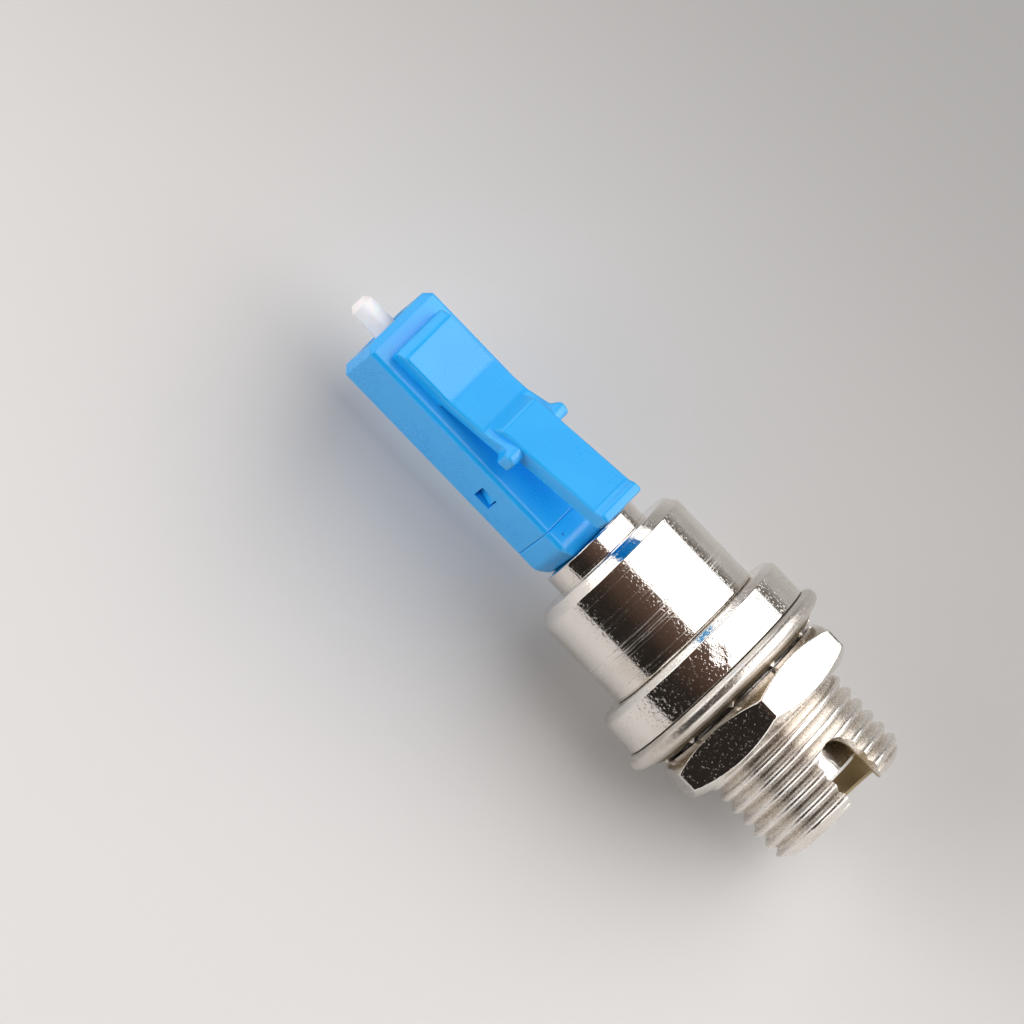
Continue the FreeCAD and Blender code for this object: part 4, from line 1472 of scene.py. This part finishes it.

# %% [markdown]
# The finished shape is cut twice near the latch's root. The root stays with the housing, the trigger moves
# with the latch, and the short stretch between them is baked in place and rides on no body. A few more cuts
# across that stretch give it more points. Each part has large flat faces beside narrow round ones, and
# weighted normals keep the flat ones flat when it is shaded smooth.

# %% Cut the latch at its bending root
BEND_START = 0.5
BEND_END = 1.0
BEND_SLICES = 8


def bisect(shape, place, **settings):
    """Cut a shape across the light path and hand back the edges of the cut."""
    parts = shape.verts[:] + shape.edges[:] + shape.faces[:]
    cut = bmesh.ops.bisect_plane(shape, geom=parts, dist=WELD, plane_co=(place * MM, 0, 0), **settings)
    return [part for part in cut["geom_cut"] if isinstance(part, bmesh.types.BMEdge)]


def slice_of(piece, name, low, high, slices=1):
    """The part of a piece between two places along the light path, with its cut ends closed."""
    shape = bmesh.new()
    shape.from_mesh(piece.data)
    for place, side in ((low, -1), (high, 1)):
        rim = bisect(shape, place, plane_no=(side, 0, 0), clear_outer=True)
        if rim:
            bmesh.ops.contextual_create(shape, geom=rim)
    for number in range(1, slices):
        bisect(shape, low + (high - low) * number / slices, plane_no=(1, 0, 0))
    mesh = bpy.data.meshes.new(name)
    shape.to_mesh(mesh)
    shape.free()
    part = checked(new_piece(name, mesh))
    part.modifiers.new("flat_faces", "WEIGHTED_NORMAL").keep_sharp = True
    baked(part)
    return part


bend_low = hinge_x - BEND_START
bend_high = hinge_x + BEND_END
latch_root = slice_of(latch, "latch_root", plug_front, bend_low)
latch_bend = slice_of(latch, "latch_bend", bend_low, bend_high, BEND_SLICES)
latch_trigger = slice_of(latch, "latch_trigger", bend_high, cap_back)
bpy.data.objects.remove(latch)

hand_over(plug_housing, blue_plastic, "blue_plastic", "adapter", "plug_housing")
hand_over(latch_root, blue_plastic, "blue_plastic", "adapter")
hand_over(latch_trigger, blue_plastic, "blue_plastic", "latch", "latch_lever")
latch_bend.data.materials.append(blue_plastic)
hinge_line = Vector((0, 0, hinge_z * MM))
tuple(hinge_line + path * bend_low * MM)
tuple(hinge_line + path * bend_high * MM)
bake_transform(latch_bend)
print("latch cut at %.2f and %.2f mm" % (bend_low, bend_high))

# %% [markdown]
# The ferrule is the white pin that stands out of the plug: ground zirconia with a chamfered tip. The fibre
# in its middle is a hair of glass from the tip to the middle of the socket. When the ferrule is pushed in,
# the fibre's far end stays where it is. Here the fibre's mesh is baked in place.

# %% Ferrule and fibre
FERRULE_RADIUS = 0.625
FERRULE_CHAMFER_LENGTH = 0.3
FERRULE_CHAMFER_DEPTH = 0.22
FIBRE_RADIUS = 0.0625
FIBRE_HOLE = 0.0645
FIBRE_STEPS = 50
TIP_EDGE = 0.06

ferrule_tip, ferrule_end = reach("plug_ferrule")
ferrule = turned("ferrule_ground", [
    (ferrule_tip, FIBRE_HOLE, 0.0),
    (ferrule_tip, FERRULE_RADIUS - FERRULE_CHAMFER_DEPTH, TIP_EDGE),
    (ferrule_tip + FERRULE_CHAMFER_LENGTH, FERRULE_RADIUS, TIP_EDGE),
    (ferrule_end, FERRULE_RADIUS),
    (ferrule_end, FIBRE_HOLE, 0.0),
])
hand_over(ferrule, white_ceramic, "white_ceramic", "ferrule", "plug_ferrule")

fibre_start, fibre_end = reach("fibre")
fibre_length = fibre_end - fibre_start
fibre_section = [(fibre_start, 0.0)]
for step in range(FIBRE_STEPS + 1):
    fibre_section.append((fibre_start + fibre_length * step / FIBRE_STEPS, FIBRE_RADIUS))
fibre_section.append((fibre_end, 0.0))
fibre = checked(spun("fibre_drawn", lambda angle: fibre_section, closed=False))
fibre.data.materials.append(glass_fibre)
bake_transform(fibre)
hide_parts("fibre")

# %% [markdown]
# A coil spring presses the ferrule forwards. It hides in the plug, but it is a good example of a rule: a
# spiral with no change of radius is a helix, and a small circle swept along it is the wire. The spring's far
# end rests on the stem and its near end on the ferrule's collar, so when the ferrule goes in, the coil must
# get shorter. Here it rides on the ferrule.

# %% Ferrule spring
COIL_RADIUS = 1.05
WIRE_RADIUS = 0.125
SPRING_TURNS = 5.0
SPRING_STEPS = 36
WIRE_STEPS = 12
SPRING_NUMBERS = ("Start", "Length", "Coil radius", "Wire radius", "Turns")


def spring_tree():
    """A round wire along a helix about the light path."""
    start, given = new_tree("spring", SPRING_NUMBERS, ("Steps", "Wire steps"))
    coil = given.output("Coil radius")
    helix = start.node("GeometryNodeCurveSpiral", sockets={
        "Resolution": given.output("Steps"),
        "Rotations": given.output("Turns"),
        "Start Radius": coil,
        "End Radius": coil,
        "Height": given.output("Length"),
    })
    first = start.node("ShaderNodeCombineXYZ", sockets={"X": given.output("Start")})
    sockets = {"Geometry": helix, "Translation": first, "Rotation": (0, math.pi / 2, 0)}
    laid = start.node("GeometryNodeTransform", sockets=sockets)
    round_wire = start.node("GeometryNodeCurvePrimitiveCircle", sockets={
        "Resolution": given.output("Wire steps"),
        "Radius": given.output("Wire radius"),
    })
    sockets = {"Curve": laid, "Profile Curve": round_wire, "Fill Caps": True}
    end_tree(start, given, start.node("GeometryNodeCurveToMesh", sockets=sockets))
    return start.tree


spring_start, spring_end = reach("ferrule_spring")
spring_values = {
    "Start": (spring_start + WIRE_RADIUS) * MM,
    "Length": (spring_end - spring_start - 2 * WIRE_RADIUS) * MM,
    "Coil radius": COIL_RADIUS * MM,
    "Wire radius": WIRE_RADIUS * MM,
    "Turns": SPRING_TURNS,
    "Steps": SPRING_STEPS,
    "Wire steps": WIRE_STEPS,
    "Material": spring_steel,
}
spring = checked(grown("ferrule_spring_wound", spring_tree(), spring_values))
hand_over(spring, spring_steel, "spring_steel", "ferrule", "ferrule_spring")
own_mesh(spring)

# %% [markdown]
# The pieces that stay as they are measured get a finish on the solid itself: the tube inside the socket,
# the sleeve and stub in it, and what is hidden in the plug.

# %% Finishes for the solids that stay
SOLID_FINISHES = {
    "sleeve_holder": holder_metal,
    "stub_holder": holder_metal,
    "ferrule_holder": holder_metal,
    "split_sleeve": white_ceramic,
    "socket_stub": white_ceramic,
}
for node, finish in SOLID_FINISHES.items():
    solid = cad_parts[node]
    solid.data.materials.clear()
    solid.data.materials.append(finish)
print("finished solids:", ", ".join(SOLID_FINISHES))
